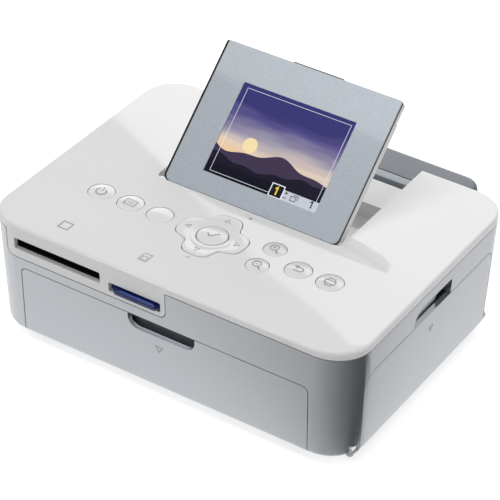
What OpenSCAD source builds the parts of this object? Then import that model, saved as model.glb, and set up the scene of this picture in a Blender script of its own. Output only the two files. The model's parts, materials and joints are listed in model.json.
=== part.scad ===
/* Compact photo printer: white case with a tilting display, nine keys, two card
   slots, a paper door in front, an ink door on the right and the print works inside.
   Millimetres. X runs to the right, Y to the back, Z up from the table. */

/* [Case] */
// Width of the case
case_w = 178; // [172:1:190]
// Depth of the case, without the rear housing
case_d = 135; // [132:1:145]
// Height of the top face above the table
case_h = 60.5; // [60:0.5:66]
// Plan radius of the case corners
corner_r = 16.5; // [14:0.5:20]
// How far the front face leans in at table height
front_lean = 4.2; // [2:0.2:5]
// How far each side leans in at table height
side_lean = 1.8; // [0.8:0.1:2.4]
// Wall of the case shells
wall_t = 2.2; // [1.8:0.1:2.4]
// Thickness of the top plate
top_t = 2.4; // [2:0.1:2.4]
// Radius of the top edge
top_edge_r = 1.4; // [0.8:0.1:1.8]
// Height of the walls' lower edge above the table
skirt_h = 3.8; // [3.4:0.1:3.8]
// Radius of that edge, which both doors turn about
low_edge_r = 2.7; // [2.6:0.1:3]
// How far the base stands in from the walls
base_inset = 6.2; // [6:0.1:7]
// Height of the band that the top cover shows on the sides
band_h = 3.7; // [3.2:0.1:4.2]
// Gap at the parting line
seam_gap = 0.4; // [0.3:0.05:0.6]
// Height of the rubber feet
foot_h = 2; // [1.5:0.1:2.5]
// Diameter of the rubber feet
foot_d = 11; // [8:0.5:12]

/* [Display] */
// Width of the display panel
panel_w = 86.7; // [80:0.1:87]
// Length of the display panel from its pivot to its tip
panel_l = 66.6; // [62:0.1:67]
// Angle of the open panel above the top face
rest_tilt = 42.5; // [38:0.5:45]
// Radius of the rounded nose about the pivot
nose_r = 2; // [1.8:0.1:2.2]
// Distance of the panel's lower edge from the front of the case
panel_from_front = 65.7; // [64:0.1:68]
// Thickness of the silver face plate
plate_t = 0.8; // [0.6:0.1:1]
// Thickness of the black middle frame
frame_t = 1.4; // [1.2:0.1:1.6]
// Thickness of the white back shell at the hinge end
shell_t = 3.6; // [3:0.1:3.8]
// Thickness of the white back shell at the tip
tip_t = 2.6; // [2.2:0.1:3]
// Width of the display window
window_w = 55.5; // [50:0.5:58]
// Height of the display window
window_l = 42; // [38:0.5:44]
// Shift of the window to the right of the middle
window_x = 0.85; // [0:0.05:1.5]
// Distance of the window from the pivot
window_from_pivot = 9.4; // [9:0.1:12]
// Radius of the panel's corners at the pivot
panel_low_r = 3; // [2:0.2:4]
// Radius of the panel's corners at the tip
panel_tip_r = 0.8; // [0.4:0.1:1.6]
// Radius of the steel hinge pins
hinge_pin_r = 1; // [0.8:0.1:1.1]

/* [Display bay] */
// Gap between the display panel and each side of the bay
bay_side_gap = 2.25; // [2.1:0.05:2.6]
// Radius of the bay's front corners
bay_corner_r = 3; // [2:0.5:4]
// Depth of the front floor below the top
bay_deep = 13.8; // [13:0.1:14.2]
// Depth of the rear floor below the top
bay_shallow = 6.3; // [6.2:0.1:6.8]
// Distance of the step between the two floors from the rear of the case
bay_step_from_rear = 26.2; // [24:0.1:28]
// Thickness of the bay's walls and floors
bay_t = 1.8; // [1.4:0.1:2]
// Width of the paper slot behind the rear floor
exit_slot_w = 3.8; // [3:0.1:3.9]
// Distance of the slot's rear edge from the rear of the case
exit_slot_from_rear = 6.5; // [6:0.1:8]

/* [Rear housing] */
// How far the rear housing stands out behind the case
housing_out = 17; // [15:0.5:18]
// Width of the rear housing
housing_w = 134.4; // [124:0.2:136]
// Height of the rear housing
housing_h = 14.2; // [12:0.2:15]
// Radius of its top edge
housing_edge_r = 3; // [2.4:0.2:4]
// Plan radius of its rear corners
housing_corner_r = 8; // [6:0.5:9]
// Wall of the rear housing
housing_t = 1.6; // [1.2:0.1:2]

/* [Doors] */
// Distance of the front cover from the left side of the case
front_cover_from_left = 18.7; // [18.5:0.1:23]
// Distance of the front cover from the right side of the case
front_cover_from_right = 19.2; // [19:0.1:23]
// Depth of the front cover's top edge below the top
front_cover_low = 21.8; // [21:0.1:22.2]
// Thickness of both doors
door_t = 2.2; // [1.8:0.1:2.4]
// Gap round both doors
door_gap = 0.35; // [0.3:0.05:0.5]
// Radius of the front cover's top corners
front_cover_r = 2.6; // [2:0.2:4]
// Half width of the finger notch in the front cover
front_notch_w = 16.4; // [12:0.1:18]
// Depth of the finger notch in the front cover
front_notch_h = 6.7; // [5:0.1:7]
// Distance of the side cover from the front of the case
side_cover_from_front = 14.8; // [14.4:0.1:16]
// Distance of the side cover from the rear of the case
side_cover_from_rear = 13.6; // [13.4:0.1:18]
// Depth of the side cover's top edge below the top
side_cover_low = 16.8; // [16:0.1:17.2]
// Radius of the side cover's front top corner
side_cover_front_r = 7; // [5:0.5:9]
// Radius of the side cover's rear top corner
side_cover_rear_r = 5; // [4:0.5:8]
// Distance of the side finger notch from the front of the case
side_notch_from_front = 52.6; // [48:0.1:56]
// Length of the side finger notch
side_notch_w = 31; // [26:0.5:34]
// Height of the side finger notch above the side cover
side_notch_h = 7.5; // [7:0.1:7.8]
// Radius of its front top corner
side_notch_r = 7; // [5:0.1:7]
// Length of the deep pocket at its rear end
side_deep_w = 8.4; // [7:0.1:10]
// Depth of the finger pockets behind both doors
notch_deep = 4.8; // [4.6:0.1:5]
// Radius of the doors' hinge pins
door_pin_r = 1.2; // [1:0.1:1.3]
// Thickness of the case's ears that carry the pins
ear_t = 3; // [2.6:0.1:3.4]

/* [Keys] */
// Distance of the row of keys from the front of the case
key_row_from_front = 40.8; // [40:0.1:42]
// Diameter of the large keys
key_d = 12.1; // [11:0.1:12.6]
// Diameter of the zoom keys
zoom_key_d = 10.3; // [9:0.1:10.6]
// Diameter of the key in the middle of the pad
ok_key_d = 13.5; // [13:0.1:14]
// Width of the four-way pad
pad_w = 32.4; // [32:0.1:32.8]
// Place of the pad to the right of the middle
pad_x = -1.4; // [-2:0.1:0]
// Gap between a key and its hole
key_gap = 0.25; // [0.2:0.05:0.3]
// Travel of a key
key_travel = 0.6; // [0.4:0.05:0.6]
// How far a key stands above the top
key_proud = 0.4; // [0.2:0.05:0.6]

/* [Card slots] */
// Distance of the wide card slot from the left side of the case
cf_from_left = 15.7; // [15.6:0.1:16]
// Width of the wide card slot
cf_w = 43.6; // [43.2:0.1:43.8]
// Height of the wide card slot
cf_h = 5.6; // [5:0.1:5.8]
// Depth of the wide card slot's lower edge below the top
cf_low = 12.5; // [12.3:0.1:12.6]
// Distance of the narrow card slot from the left side of the case
sd_from_left = 63.5; // [63.4:0.1:64]
// Width of the narrow card slot
sd_w = 25.5; // [25:0.1:25.8]
// Height of the narrow card slot
sd_h = 4.7; // [4:0.1:4.8]
// Depth of the narrow card slot's lower edge below the top
sd_low = 14.5; // [14.3:0.1:14.6]
// How far the memory card stands out in front of the case
card_out = 2; // [1:0.1:2.5]
// Distance of the apron round the slots from the left side of the case
apron_from_left = 11.5; // [11:0.1:12]
// Width of the apron
apron_w = 79.7; // [79.5:0.1:81.5]
// Depth of the apron's lower edge below the top
apron_low = 16.7; // [16.5:0.1:17]

/* [Print works] */
// Distance of the print line from the rear of the case
print_line_from_rear = 46.5; // [46:0.1:46.5]
// Distance of each ink spool from the print line
spool_off = 18; // [17.8:0.1:18.4]
// Radius of the platen roller
platen_r = 5.5; // [5:0.1:5.5]
// Height of the paper path
paper_z = 19.7; // [19.6:0.05:19.8]
// Radius of the grip roller
grip_r = 4; // [3.5:0.1:4]
// Radius of the pinch roller above it
pinch_r = 3; // [2.5:0.1:3]
// Distance of the grip roller behind the print line
grip_off = 35; // [34.5:0.1:35]
// Radius of the pick-up roller's tyre
pickup_r = 7; // [6.5:0.1:7]
// Module of the gears
gear_m = 0.8; // [0.78:0.01:0.8]
// Room beside each chassis side plate, to the greatest half width of the case
works_side = 32; // [31.6:0.1:32.2]
// Thickness of the chassis sheet
sheet_t = 1.2; // [1:0.1:1.2]
// Diameter of the motors
motor_d = 22; // [20:0.5:22]
// Length of the motors
motor_l = 10; // [8:0.5:10]
// Side of the cooling fan's frame
fan_side = 25; // [22:0.5:25]

/* [Hidden] */
$fn = 48;
HULL_FN = 32;
EPS = 0.01;
BIG = 400;

// The whole part is centred over the table point below its middle.
front_y = -(case_d + housing_out - card_out) / 2;
rear_y = front_y + case_d;

// Colours
WHITE = [0.93, 0.93, 0.92];
LIGHT = [0.80, 0.81, 0.83];
GREY = [0.52, 0.55, 0.58];
SILVER = [0.68, 0.71, 0.74];
BLACK = [0.08, 0.08, 0.09];
STEEL = [0.70, 0.71, 0.72];
RUBBER = [0.13, 0.13, 0.14];
BOARD = [0.05, 0.32, 0.18];
NYLON = [0.86, 0.84, 0.76];

// Case heights
floor_t = wall_t;
floor_z = foot_h + floor_t;
rim_z = skirt_h + wall_t;
plate_z = case_h - top_t;
seam_z = case_h - band_h;

// Doors: both turn about the middle of the bottom edge's rounding.
door_axis_z = skirt_h + low_edge_r;
front_axis_y = front_y + front_in(door_axis_z) + low_edge_r;
side_axis_x = case_w / 2 - side_in(door_axis_z) - low_edge_r;
door_sweep = low_edge_r + 0.6;
ear_r = low_edge_r - 0.3;
door_boss_t = 4;
door_boss_r = low_edge_r - 0.1;
door_pin_gap = 0.05;
door_pin_l = ear_t - 0.4;
front_cover_x0 = -case_w / 2 + front_cover_from_left;
front_cover_x1 = case_w / 2 - front_cover_from_right;
front_cover_z = case_h - front_cover_low;
side_cover_z = case_h - side_cover_low;
side_cover_y0 = front_y + side_cover_from_front;
side_cover_y1 = rear_y - side_cover_from_rear;
side_notch_y0 = front_y + side_notch_from_front;
side_notch_y1 = side_notch_y0 + side_notch_w;
side_notch_z0 = side_cover_z + door_gap;
side_notch_z1 = side_notch_z0 + side_notch_h;
door_slot = door_t + 0.8;

// Display
hinge_y = front_y + panel_from_front + nose_r * tan(rest_tilt / 2);
hinge_z = case_h - nose_r;
bay_w = panel_w + 2 * bay_side_gap;
bay_y0 = hinge_y - nose_r - 0.3;
bay_step_y = rear_y - bay_step_from_rear;
slot_y1 = rear_y - exit_slot_from_rear;
slot_y0 = slot_y1 - exit_slot_w;
deep_z = case_h - bay_deep;
shallow_z = case_h - bay_shallow;
plate_low = nose_r - plate_t;
frame_low = plate_low - frame_t;
nose_gap = 0.05;
pin_gap = 0.02;
bore_gap = 0.06;

// Rear housing
housing_y0 = rear_y - 1.3;
housing_y1 = rear_y + housing_out;
housing_z1 = shallow_z;
housing_z0 = housing_z1 - housing_h;

// Keys: the board hangs under the top plate.
key_y = front_y + key_row_from_front;
key_pitch = 14.9;
left_key_x = -57.3;
right_key_x = 40.2;
key_x = [left_key_x, left_key_x + key_pitch, left_key_x + 2 * key_pitch, right_key_x,
    right_key_x + key_pitch];
zoom_x = 24.8;
zoom_dy = 6.85;
board_t = 1;
board_top = plate_z - 2.5;
dome_h = 0.3;
dome_r = 2;
stem_z = board_top + dome_h + key_travel + 0.1;
flange_t = 0.7;
flange_z = plate_z - 0.15 - flange_t;
board_x0 = left_key_x - 8.7;
board_x1 = right_key_x + key_pitch + 8.9;
board_y0 = key_y - 18.8;
board_y1 = bay_y0 - bay_t - 5.4;
pad_low = board_top + 1;
pad_gap = 0.4;
pad_flange_t = 0.5;
shelf_z = pad_low + 1.4;
carrier_r = 5.2;

// Cards
cf_x0 = -case_w / 2 + cf_from_left;
sd_x0 = -case_w / 2 + sd_from_left;
apron_x0 = -case_w / 2 + apron_from_left;
apron_x1 = apron_x0 + apron_w;
cf_z = case_h - cf_low;
sd_z = case_h - sd_low;
apron_z = case_h - apron_low;
main_top = sd_z - 0.2;
main_t = 1.6;
main_x0 = cf_x0 - 3.2;
main_w = 116.5;
main_x1 = main_x0 + main_w;
reader_top = board_top - board_t - 0.3;
reader_y0 = front_y + front_in(sd_z) + wall_t + 0.3;
reader_y1 = front_y + 38.5;
card_w = 24;
card_l = 32;
card_t = 2.1;
card_x = sd_x0 + sd_w / 2;
card_z = sd_z + 1.4;

// Print works
print_y = rear_y - print_line_from_rear;
takeup_y = print_y - spool_off;
supply_y = print_y + spool_off;
grip_y = print_y + grip_off;
platen_z = paper_z - 0.2 - platen_r;
grip_z = paper_z - 0.1 - grip_r;
pinch_z = paper_z + 0.1 + pinch_r;
chassis_half = case_w / 2 - works_side;
roller_half = chassis_half - 5;
head_half = chassis_half - 7;
shaft_r = 2;
shaft_gap = 0.05;
tube_r = (deep_z - bay_t - paper_z - 5.2) / 2;
spool_z = paper_z + 0.3 + tube_r;
chassis_z0 = rim_z + 0.3;
chassis_z1 = deep_z - bay_t - 0.9;
chassis_y0 = print_y - 53;
chassis_floor_y = print_y - 28;
chassis_y1 = rear_y - wall_t - 1.3;
plate_out = chassis_half + sheet_t;
gear_x = -plate_out - 1.8;
gear_t = 3;
gear_plate_x = gear_x - gear_t - 2;
takeup_teeth = 24;
ribbon_pinion_teeth = 10;
pickup_teeth = 18;
grip_teeth = 20;
idler_teeth = 32;
feed_pinion_teeth = 10;
pickup_angle = 158.7;
idler_angle = 150;
ribbon_pinion_p = step_from([takeup_y, spool_z], pickup_angle, takeup_teeth + ribbon_pinion_teeth);
pickup_p = step_from(ribbon_pinion_p, pickup_angle, ribbon_pinion_teeth + pickup_teeth);
idler_p = step_from([grip_y, grip_z], idler_angle, grip_teeth + idler_teeth);
feed_pinion_p = step_from(idler_p, idler_angle, idler_teeth + feed_pinion_teeth);
arm_z = spool_z + tube_r + 1.7;
arm_t = 1.2;
arm_axis_z = arm_z + 1.8;
arm_axis_y = grip_y;
ribbon_z = spool_z - tube_r + 0.6;
cassette_x0 = -chassis_half + 3;
cassette_x1 = chassis_half - 1;
handle_x1 = case_w / 2 - 13;
tube_t = 1.4;
bay_half = chassis_half - 1;
bay_wall = 1.6;
bay_z0 = floor_z + 3.3;
bay_z1 = pickup_p[1] - shaft_r - 2.5;
bay_back_y = takeup_y - tube_r - 2;
bay_front_y = front_y + 6;

// Screw bosses, with a pilot in the top cover
boss_r = 3.5;
boss_bore_r = 1.5;
screw_r = 1.28;
pilot_r = 1.3;
boss_top = plate_z - 4;
head_seat = skirt_h + 3;
head_hole_r = 2.9;
head_h = 1.8;
BOSSES = [[-case_w / 2 + 8, front_y + 17.5], [case_w / 2 - 15, front_y + 12],
    [-case_w / 2 + 9.5, rear_y - 19.5], [case_w / 2 - 15, rear_y - 7.5]];
feet_x = case_w / 2 - 29;
FEET = [for (s = [-1, 1], y = [front_y + 23.5, rear_y - 11.5]) [s * feet_x, y]];
KEY_POSTS = [[board_x0 + 3, board_y0 + 3], [board_x1 - 3, board_y0 + 3],
    [board_x0 + 3, board_y1 - 3], [board_x1 - 3, board_y1 - 3]];

// ---------------------------------------------------------------- helpers

// Inset of the front face and of each side face at a height
function front_in(z) = front_lean * (case_h - z) / case_h;
function side_in(z) = side_lean * (case_h - z) / case_h;

// Centre of a gear that meshes with one at p, with teeth the sum of both tooth counts
function step_from(p, angle, teeth) = p + gear_m * teeth / 2 * [cos(angle), sin(angle)];

// Extrude a profile drawn in (x, z) along Y, or one drawn in (y, z) along X
module along_y(y0, y1) { translate([0, y1, 0]) rotate([90, 0, 0]) linear_extrude(y1 - y0) children(); }
module along_x(x0, x1) { translate([x0, 0, 0]) rotate([90, 0, 90]) linear_extrude(x1 - x0) children(); }
module along_z(z0, z1) { translate([0, 0, z0]) linear_extrude(z1 - z0) children(); }

// A shaft or bore along X, centred on p = [y, z]
module rod_x(x0, x1, p, r) { translate([x0, p[0], p[1]]) rotate([0, 90, 0]) cylinder(h = x1 - x0, r = r); }

module box(x, y, z) { translate([x[0], y[0], z[0]]) cube([x[1] - x[0], y[1] - y[0], z[1] - z[0]]); }

// Rectangle between two corners with one radius all round
module soft_rect(x0, y0, x1, y1, r) {
    translate([x0 + r, y0]) square([x1 - x0 - 2 * r, y1 - y0]);
    translate([x0, y0 + r]) square([x1 - x0, y1 - y0 - 2 * r]);
    for (x = [x0 + r, x1 - r], y = [y0 + r, y1 - r]) translate([x, y]) circle(r);
}

// Upright rectangle whose two top corners have their own radii
module arch(x0, z0, x1, z1, r0, r1) {
    translate([x0, z0]) square([x1 - x0, z1 - z0 - max(r0, r1)]);
    translate([x0 + r0, z0]) square([x1 - x0 - r0 - r1, z1 - z0]);
    translate([x0 + r0, z1 - r0]) circle(r0);
    translate([x1 - r1, z1 - r1]) circle(r1);
    translate([x0, z0]) square([r0, z1 - z0 - r0]);
    translate([x1 - r1, z0]) square([r1, z1 - z0 - r1]);
}

module door_outline(x0, x1, z1, r0, r1) { arch(x0, skirt_h - 1, x1, z1, r0, r1); }

// Outline of the case at a height, drawn in by an inset
module case_outline(z, inset) {
    r = max(corner_r - inset, 0.5);
    w = case_w / 2 - side_in(z) - inset;
    soft_rect(-w, front_y + front_in(z) + inset, w, rear_y - inset, r, $fn = HULL_FN);
}

// The case's leaning form between two heights, with rounded bottom and top edges
module case_block(z0, z1, inset = 0, low_r = 0, top_r = 0) {
    hull() {
        for (a = low_r > 0 ? [0:30:90] : [90]) {
            z = z0 + low_r * (1 - cos(a));
            translate([0, 0, z]) linear_extrude(EPS) case_outline(z, inset + low_r * (1 - sin(a)));
        }
        for (a = top_r > 0 ? [0:30:90] : [90]) {
            z = z1 - EPS - top_r * (1 - cos(a));
            translate([0, 0, z]) linear_extrude(EPS) case_outline(z, inset + top_r * (1 - sin(a)));
        }
    }
}

// The case's wall of thickness t with its rounded bottom edge
module case_wall(z1, t) {
    difference() {
        case_block(skirt_h, z1, low_r = low_edge_r);
        case_block(skirt_h + t, z1 + 1, inset = t, low_r = low_edge_r - t);
    }
}

module apron_outline(grow = 0) {
    soft_rect(apron_x0 - grow, apron_z - grow, apron_x1 + grow, seam_z + 12, 3 + grow);
}

// Spur gear lying along X with a tooth on the given angle, measured from +Y to +Z
module gear(x0, x1, p, teeth, phase) {
    pitch_r = gear_m * teeth / 2;
    root_r = pitch_r - 1.15 * gear_m;
    tip_r = pitch_r + 0.85 * gear_m;
    half_root = 0.5 * gear_m;
    half_tip = 0.24 * gear_m;
    translate([0, p[0], p[1]]) along_x(x0, x1) {
        circle(root_r);
        for (i = [0 : teeth - 1]) rotate(phase + i * 360 / teeth)
            polygon([[root_r - 0.4, -half_root], [tip_r, -half_tip],
                [tip_r, half_tip], [root_r - 0.4, half_root]]);
    }
}

// Outline of the four-way pad: a circle that swells towards its four arms
module pad_outline(grow = 0) {
    half = pad_w / 2;
    polygon([for (a = [0:3.75:356.25])
        (half * (0.915 + 0.130 * cos(4 * a) - 0.045 * cos(8 * a)) + grow) * [cos(a), sin(a)]]);
}

// Finger pocket profile behind the front cover: depth inwards against height below its upper edge
module pocket_profile(h) {
    polygon([[-3, 0], [0.2, 0], [notch_deep * 0.45, -h * 0.12], [notch_deep * 0.75, -h * 0.3],
        [notch_deep, -h * 0.62], [notch_deep, -h - 4], [-3, -h - 4]]);
}

// Turns a panel part from its own frame (pivot at 0, length along Y, face up) to its place
module tilted() { translate([0, hinge_y, hinge_z]) rotate([rest_tilt, 0, 0]) children(); }

// ---------------------------------------------------------------- case

front_face_notch_y = front_y + front_in(front_cover_z);
side_face_notch_x = case_w / 2 - side_in(side_cover_z);

// Places its children, drawn in (depth behind the hinge axis, height above it), along each door
module at_front_hinge(x0, x1) { translate([0, front_axis_y, door_axis_z]) along_x(x0, x1) children(); }
module at_side_hinge(y0, y1) {
    translate([side_axis_x, 0, door_axis_z]) along_y(y0, y1) mirror([1, 0]) children();
}

// Ears of the case just past the two ends of each door
module case_ears() {
    out = door_gap + ear_t;
    at_front_hinge(front_cover_x0 - out, front_cover_x0 - door_gap) circle(ear_r);
    at_front_hinge(front_cover_x1 + door_gap, front_cover_x1 + out) circle(ear_r);
    at_side_hinge(side_cover_y0 - out, side_cover_y0 - door_gap) circle(ear_r);
    at_side_hinge(side_cover_y1 + door_gap, side_cover_y1 + out) circle(ear_r);
}

module ear_bores() {
    l = door_gap + ear_t + 0.2;
    r = door_pin_r + door_pin_gap;
    at_front_hinge(front_cover_x0 - l, front_cover_x0) circle(r);
    at_front_hinge(front_cover_x1, front_cover_x1 + l) circle(r);
    at_side_hinge(side_cover_y0 - l, side_cover_y0) circle(r);
    at_side_hinge(side_cover_y1, side_cover_y1 + l) circle(r);
}

// Solid tongue behind the front cover's notch, with the finger pocket's slope
module front_pocket() {
    z1 = front_cover_z + door_gap;
    half = front_notch_w - 0.3;
    difference() {
        box([-half, half], [front_face_notch_y - 1, front_y + front_in(seam_z) + 9],
            [bay_z1 - 5.2, z1 + 1.5]);
        difference() {
            box([-BIG, BIG], [front_y - 5, rear_y], [0, seam_z]);
            case_block(skirt_h, seam_z, low_r = low_edge_r);
        }
        along_x(-BIG, BIG) translate([front_face_notch_y, z1]) pocket_profile(10);
    }
}

// Solid block over and behind the side cover that the finger pocket is cut in
module side_pocket() {
    low = side_notch_z0 - 4.5;
    top = side_notch_z1 + 1.6;
    back = notch_deep + 1.6;
    translate([side_face_notch_x, 0, 0]) along_y(side_notch_y0 - 1.6, side_notch_y1 + 1.6) polygon([
        [-1, top], [-1, side_notch_z0], [-door_slot, side_notch_z0], [-door_slot, low],
        [-back, low], [-back, top]]);
}

// Scoop that slants in to a slot behind the cover, with a deep pocket at its rear end
module side_pocket_cut() {
    low = side_notch_z0 - 6;
    intersection() {
        along_x(0, BIG) arch(side_notch_y0, low, side_notch_y1, side_notch_z1, side_notch_r, 1.5);
        translate([side_face_notch_x, 0, 0]) along_y(-BIG, BIG) polygon([
            [3, side_notch_z1], [-0.2, side_notch_z1],
            [-door_slot * 0.5, side_notch_z1 - side_notch_h * 0.35],
            [-door_slot, side_notch_z0 + 0.4], [-door_slot, low], [3, low]]);
    }
    box([side_face_notch_x - notch_deep, case_w], [side_notch_y1 - side_deep_w, side_notch_y1],
        [low, side_notch_z1 - 2]);
}

module bottom_case() {
    color(LIGHT) {
        difference() {
            union() {
                case_wall(seam_z - seam_gap, wall_t);
                case_block(foot_h, rim_z - EPS, inset = base_inset);
                side_pocket();
                case_ears();
            }
            ear_bores();
            case_block(floor_z, rim_z + 1, inset = base_inset + wall_t);
            side_pocket_cut();
            // front opening, apron window, side opening
            along_y(front_y - 5, front_axis_y + door_sweep)
                door_outline(front_cover_x0 - door_gap, front_cover_x1 + door_gap,
                    front_cover_z + door_gap, front_cover_r + door_gap, front_cover_r + door_gap);
            along_y(front_y - 5, front_y + corner_r) apron_outline(seam_gap);
            along_x(side_axis_x - door_sweep, case_w)
                door_outline(side_cover_y0 - door_gap, side_cover_y1 + door_gap,
                    side_cover_z + door_gap, side_cover_front_r + door_gap, side_cover_rear_r + door_gap);
            // window for the rear housing, with the mouth of the display bay above it
            box([-housing_w / 2 - 0.3, housing_w / 2 + 0.3], [rear_y - wall_t - 1, rear_y + 1],
                [housing_z0 - 0.3, housing_z1 + 0.3]);
            box([-bay_w / 2, bay_w / 2], [rear_y - wall_t - 1, rear_y + 1], [housing_z1, seam_z]);
            // cooling slots at the fan and in the rear wall
            for (i = [0 : 5]) box([-case_w / 2 - 1, -case_w / 2 + side_lean + wall_t + 1],
                [fan_y0 + fan_side / 2 - 11 + 4 * i, fan_y0 + fan_side / 2 - 9 + 4 * i],
                [fan_z0 + 1.5, fan_z0 + fan_side - 1.5]);
            for (i = [0 : 4]) box([-30, 30], [rear_y - wall_t - 1, rear_y + 1], [14 + 4 * i, 16 + 4 * i]);
            // holes for the power inlet and the data port
            rear_port_hole(inlet_x, inlet_w, inlet_z, inlet_h);
            rear_port_hole(usb_x, usb_w, usb_z, usb_h);
            for (b = BOSSES) translate([b[0], b[1], foot_h - 1])
                cylinder(h = head_seat - foot_h + 1, r = head_hole_r);
        }
        front_pocket();
        for (b = BOSSES) translate([b[0], b[1], 0]) screw_boss();
        // seats of the chassis and of the paper bay
        for (s = [-1, 1], y = [chassis_floor_y + seat_in + 22, chassis_y1 - 6])
            seat(s * (chassis_half - seat_in), y, chassis_z0);
        for (s = [-1, 1], y = [bay_front_y + 17, bay_back_y - 8])
            seat(s * (bay_half - seat_in - 4), y, bay_z0);
    }
}

seat_in = 7;
module seat(x, y, z1) { translate([x, y, floor_z - 0.5]) cylinder(h = z1 - floor_z + 0.5, r = 4); }

// Tube for a case screw, counterbored for the screw's head
module screw_boss() {
    difference() {
        translate([0, 0, skirt_h]) cylinder(h = boss_top - skirt_h, r = boss_r);
        translate([0, 0, foot_h]) cylinder(h = boss_top, r = boss_bore_r);
        translate([0, 0, foot_h]) cylinder(h = head_seat - foot_h, r = head_hole_r);
    }
}

module rear_port_hole(x, w, z, h) {
    box([x - w / 2 - 0.2, x + w / 2 + 0.2], [rear_y - wall_t - 1, rear_y + 1], [z - 0.2, z + h + 0.2]);
}

module top_cover() {
    color(WHITE) {
        difference() {
            union() {
                difference() {
                    case_block(seam_z, case_h, top_r = top_edge_r);
                    case_block(seam_z - 1, plate_z, inset = wall_t);
                }
                apron();
                bay_walls();
            }
            for (s = [-1, 1])
                rod_x(s * bay_w / 2 - 4, s * bay_w / 2 + 4, [hinge_y, hinge_z], hinge_pin_r + pin_gap);
            bay_cut(plate_z - 10, case_h + 1);
            for (x = key_x) key_hole(x, key_y, key_d);
            for (s = [-1, 1]) key_hole(zoom_x, key_y + s * zoom_dy, zoom_key_d);
            translate([pad_x, key_y, 0]) along_z(plate_z - 1, case_h + 1) pad_outline();
            card_slot(cf_x0, cf_w, cf_z, cf_h);
            card_slot(sd_x0, sd_w, sd_z, sd_h);
        }
        for (p = KEY_POSTS) translate([p[0], p[1], board_top]) cylinder(h = plate_z - board_top + 0.5, r = 2);
        for (b = BOSSES) translate([b[0], b[1], 0]) difference() {
            translate([0, 0, boss_top + 0.05]) cylinder(h = plate_z - boss_top + 0.5, r = 3);
            translate([0, 0, boss_top - 1]) cylinder(h = 4.4, r = pilot_r);
        }
    }
}

module key_hole(x, y, d) { translate([x, y, plate_z - 1]) cylinder(h = top_t + 2, r = d / 2); }

module card_slot(x, w, z, h) {
    along_y(front_y - 5, front_y + corner_r) soft_rect(x, z, x + w, z + h, 0.8);
}

// Front wall of the top cover that carries the card slots
module apron() {
    intersection() {
        difference() {
            case_block(apron_z - 5, seam_z + 2);
            case_block(apron_z - 6, seam_z + 3, inset = wall_t);
        }
        along_y(front_y - 1, front_y + corner_r) apron_outline();
    }
}

module bay_cut(z0, z1) {
    along_z(z0, z1) soft_rect(-bay_w / 2, bay_y0, bay_w / 2, rear_y + 20, bay_corner_r);
}

// Walls that hang from the top plate round the display bay
module bay_walls() {
    top = plate_z + 0.5;
    low = deep_z - bay_t;
    for (s = [-1, 1]) {
        x = s * (bay_w / 2 + bay_t / 2);
        box([x - bay_t / 2, x + bay_t / 2], [bay_y0 - bay_t, bay_step_y + bay_t], [low, top]);
        box([x - bay_t / 2, x + bay_t / 2], [bay_step_y, rear_y - wall_t], [shallow_z - bay_t, top]);
    }
    difference() {
        box([-bay_w / 2 - bay_t, bay_w / 2 + bay_t], [bay_y0 - bay_t, bay_y0 + bay_corner_r], [low, top]);
        bay_cut(low - 1, top + 1);
    }
}

// Stepped floor of the display bay, with a lip down into the paper slot
module bay_floor() {
    half = bay_w / 2 - 0.2;
    color(WHITE) intersection() {
        along_x(-half, half) polygon([
            [bay_y0, deep_z - bay_t], [bay_step_y, deep_z - bay_t], [bay_step_y, shallow_z - bay_t],
            [slot_y0 - bay_t, shallow_z - bay_t], [slot_y0 - bay_t, shallow_z - 6], [slot_y0, shallow_z - 6],
            [slot_y0, shallow_z], [bay_step_y - bay_t, shallow_z], [bay_step_y - bay_t, deep_z],
            [bay_y0, deep_z]]);
        along_z(0, BIG) soft_rect(-half, bay_y0 + 0.2, half, rear_y + 20, bay_corner_r);
    }
}

// Strip between the paper slot and the rear housing
module exit_guide() {
    half = bay_w / 2 - 0.3;
    color(GREY) along_x(-half, half) polygon([
        [slot_y1, shallow_z - 8], [slot_y1 + 1.5, shallow_z - 8], [slot_y1 + 1.5, shallow_z - 1.5],
        [housing_y0 - 0.4, shallow_z - 1.5], [housing_y0 - 0.4, shallow_z], [slot_y1, shallow_z]]);
}

module housing_outline(inset) {
    half = housing_w / 2 - inset;
    soft_rect(-half, housing_y0 - 20, half, housing_y1 - inset, housing_corner_r - inset);
}

// Box with rounded top edges and rear corners, drawn in by an inset
module housing_body(inset) {
    r = housing_edge_r - inset;
    z1 = housing_z1 - inset;
    intersection() {
        hull() {
            along_z(housing_z0 + inset, z1 - r) housing_outline(inset);
            for (a = [22.5:22.5:90]) translate([0, 0, z1 - r + r * sin(a) - EPS])
                linear_extrude(EPS) housing_outline(inset + r * (1 - cos(a)));
        }
        box([-BIG, BIG], [housing_y0 - 2 * inset, BIG], [0, BIG]);
    }
}

module rear_housing() {
    color(GREY) difference() {
        housing_body(0);
        housing_body(housing_t);
    }
}

// ---------------------------------------------------------------- doors

module front_cover() {
    color(LIGHT) {
        difference() {
            intersection() {
                case_wall(seam_z, door_t);
                along_y(front_y - 1, front_axis_y)
                    door_outline(front_cover_x0, front_cover_x1, front_cover_z, front_cover_r, front_cover_r);
            }
            along_y(front_y - 5, front_y + 20)
                soft_rect(-front_notch_w, front_cover_z - front_notch_h,
                    front_notch_w, front_cover_z + 10, 5);
        }
        // round end bosses, and the pins that stand out of them
        at_front_hinge(front_cover_x0, front_cover_x0 + door_boss_t) circle(door_boss_r);
        at_front_hinge(front_cover_x1 - door_boss_t, front_cover_x1) circle(door_boss_r);
        at_front_hinge(front_cover_x0 - door_gap - door_pin_l, front_cover_x0 + 1) circle(door_pin_r);
        at_front_hinge(front_cover_x1 - 1, front_cover_x1 + door_gap + door_pin_l) circle(door_pin_r);
    }
}

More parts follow.
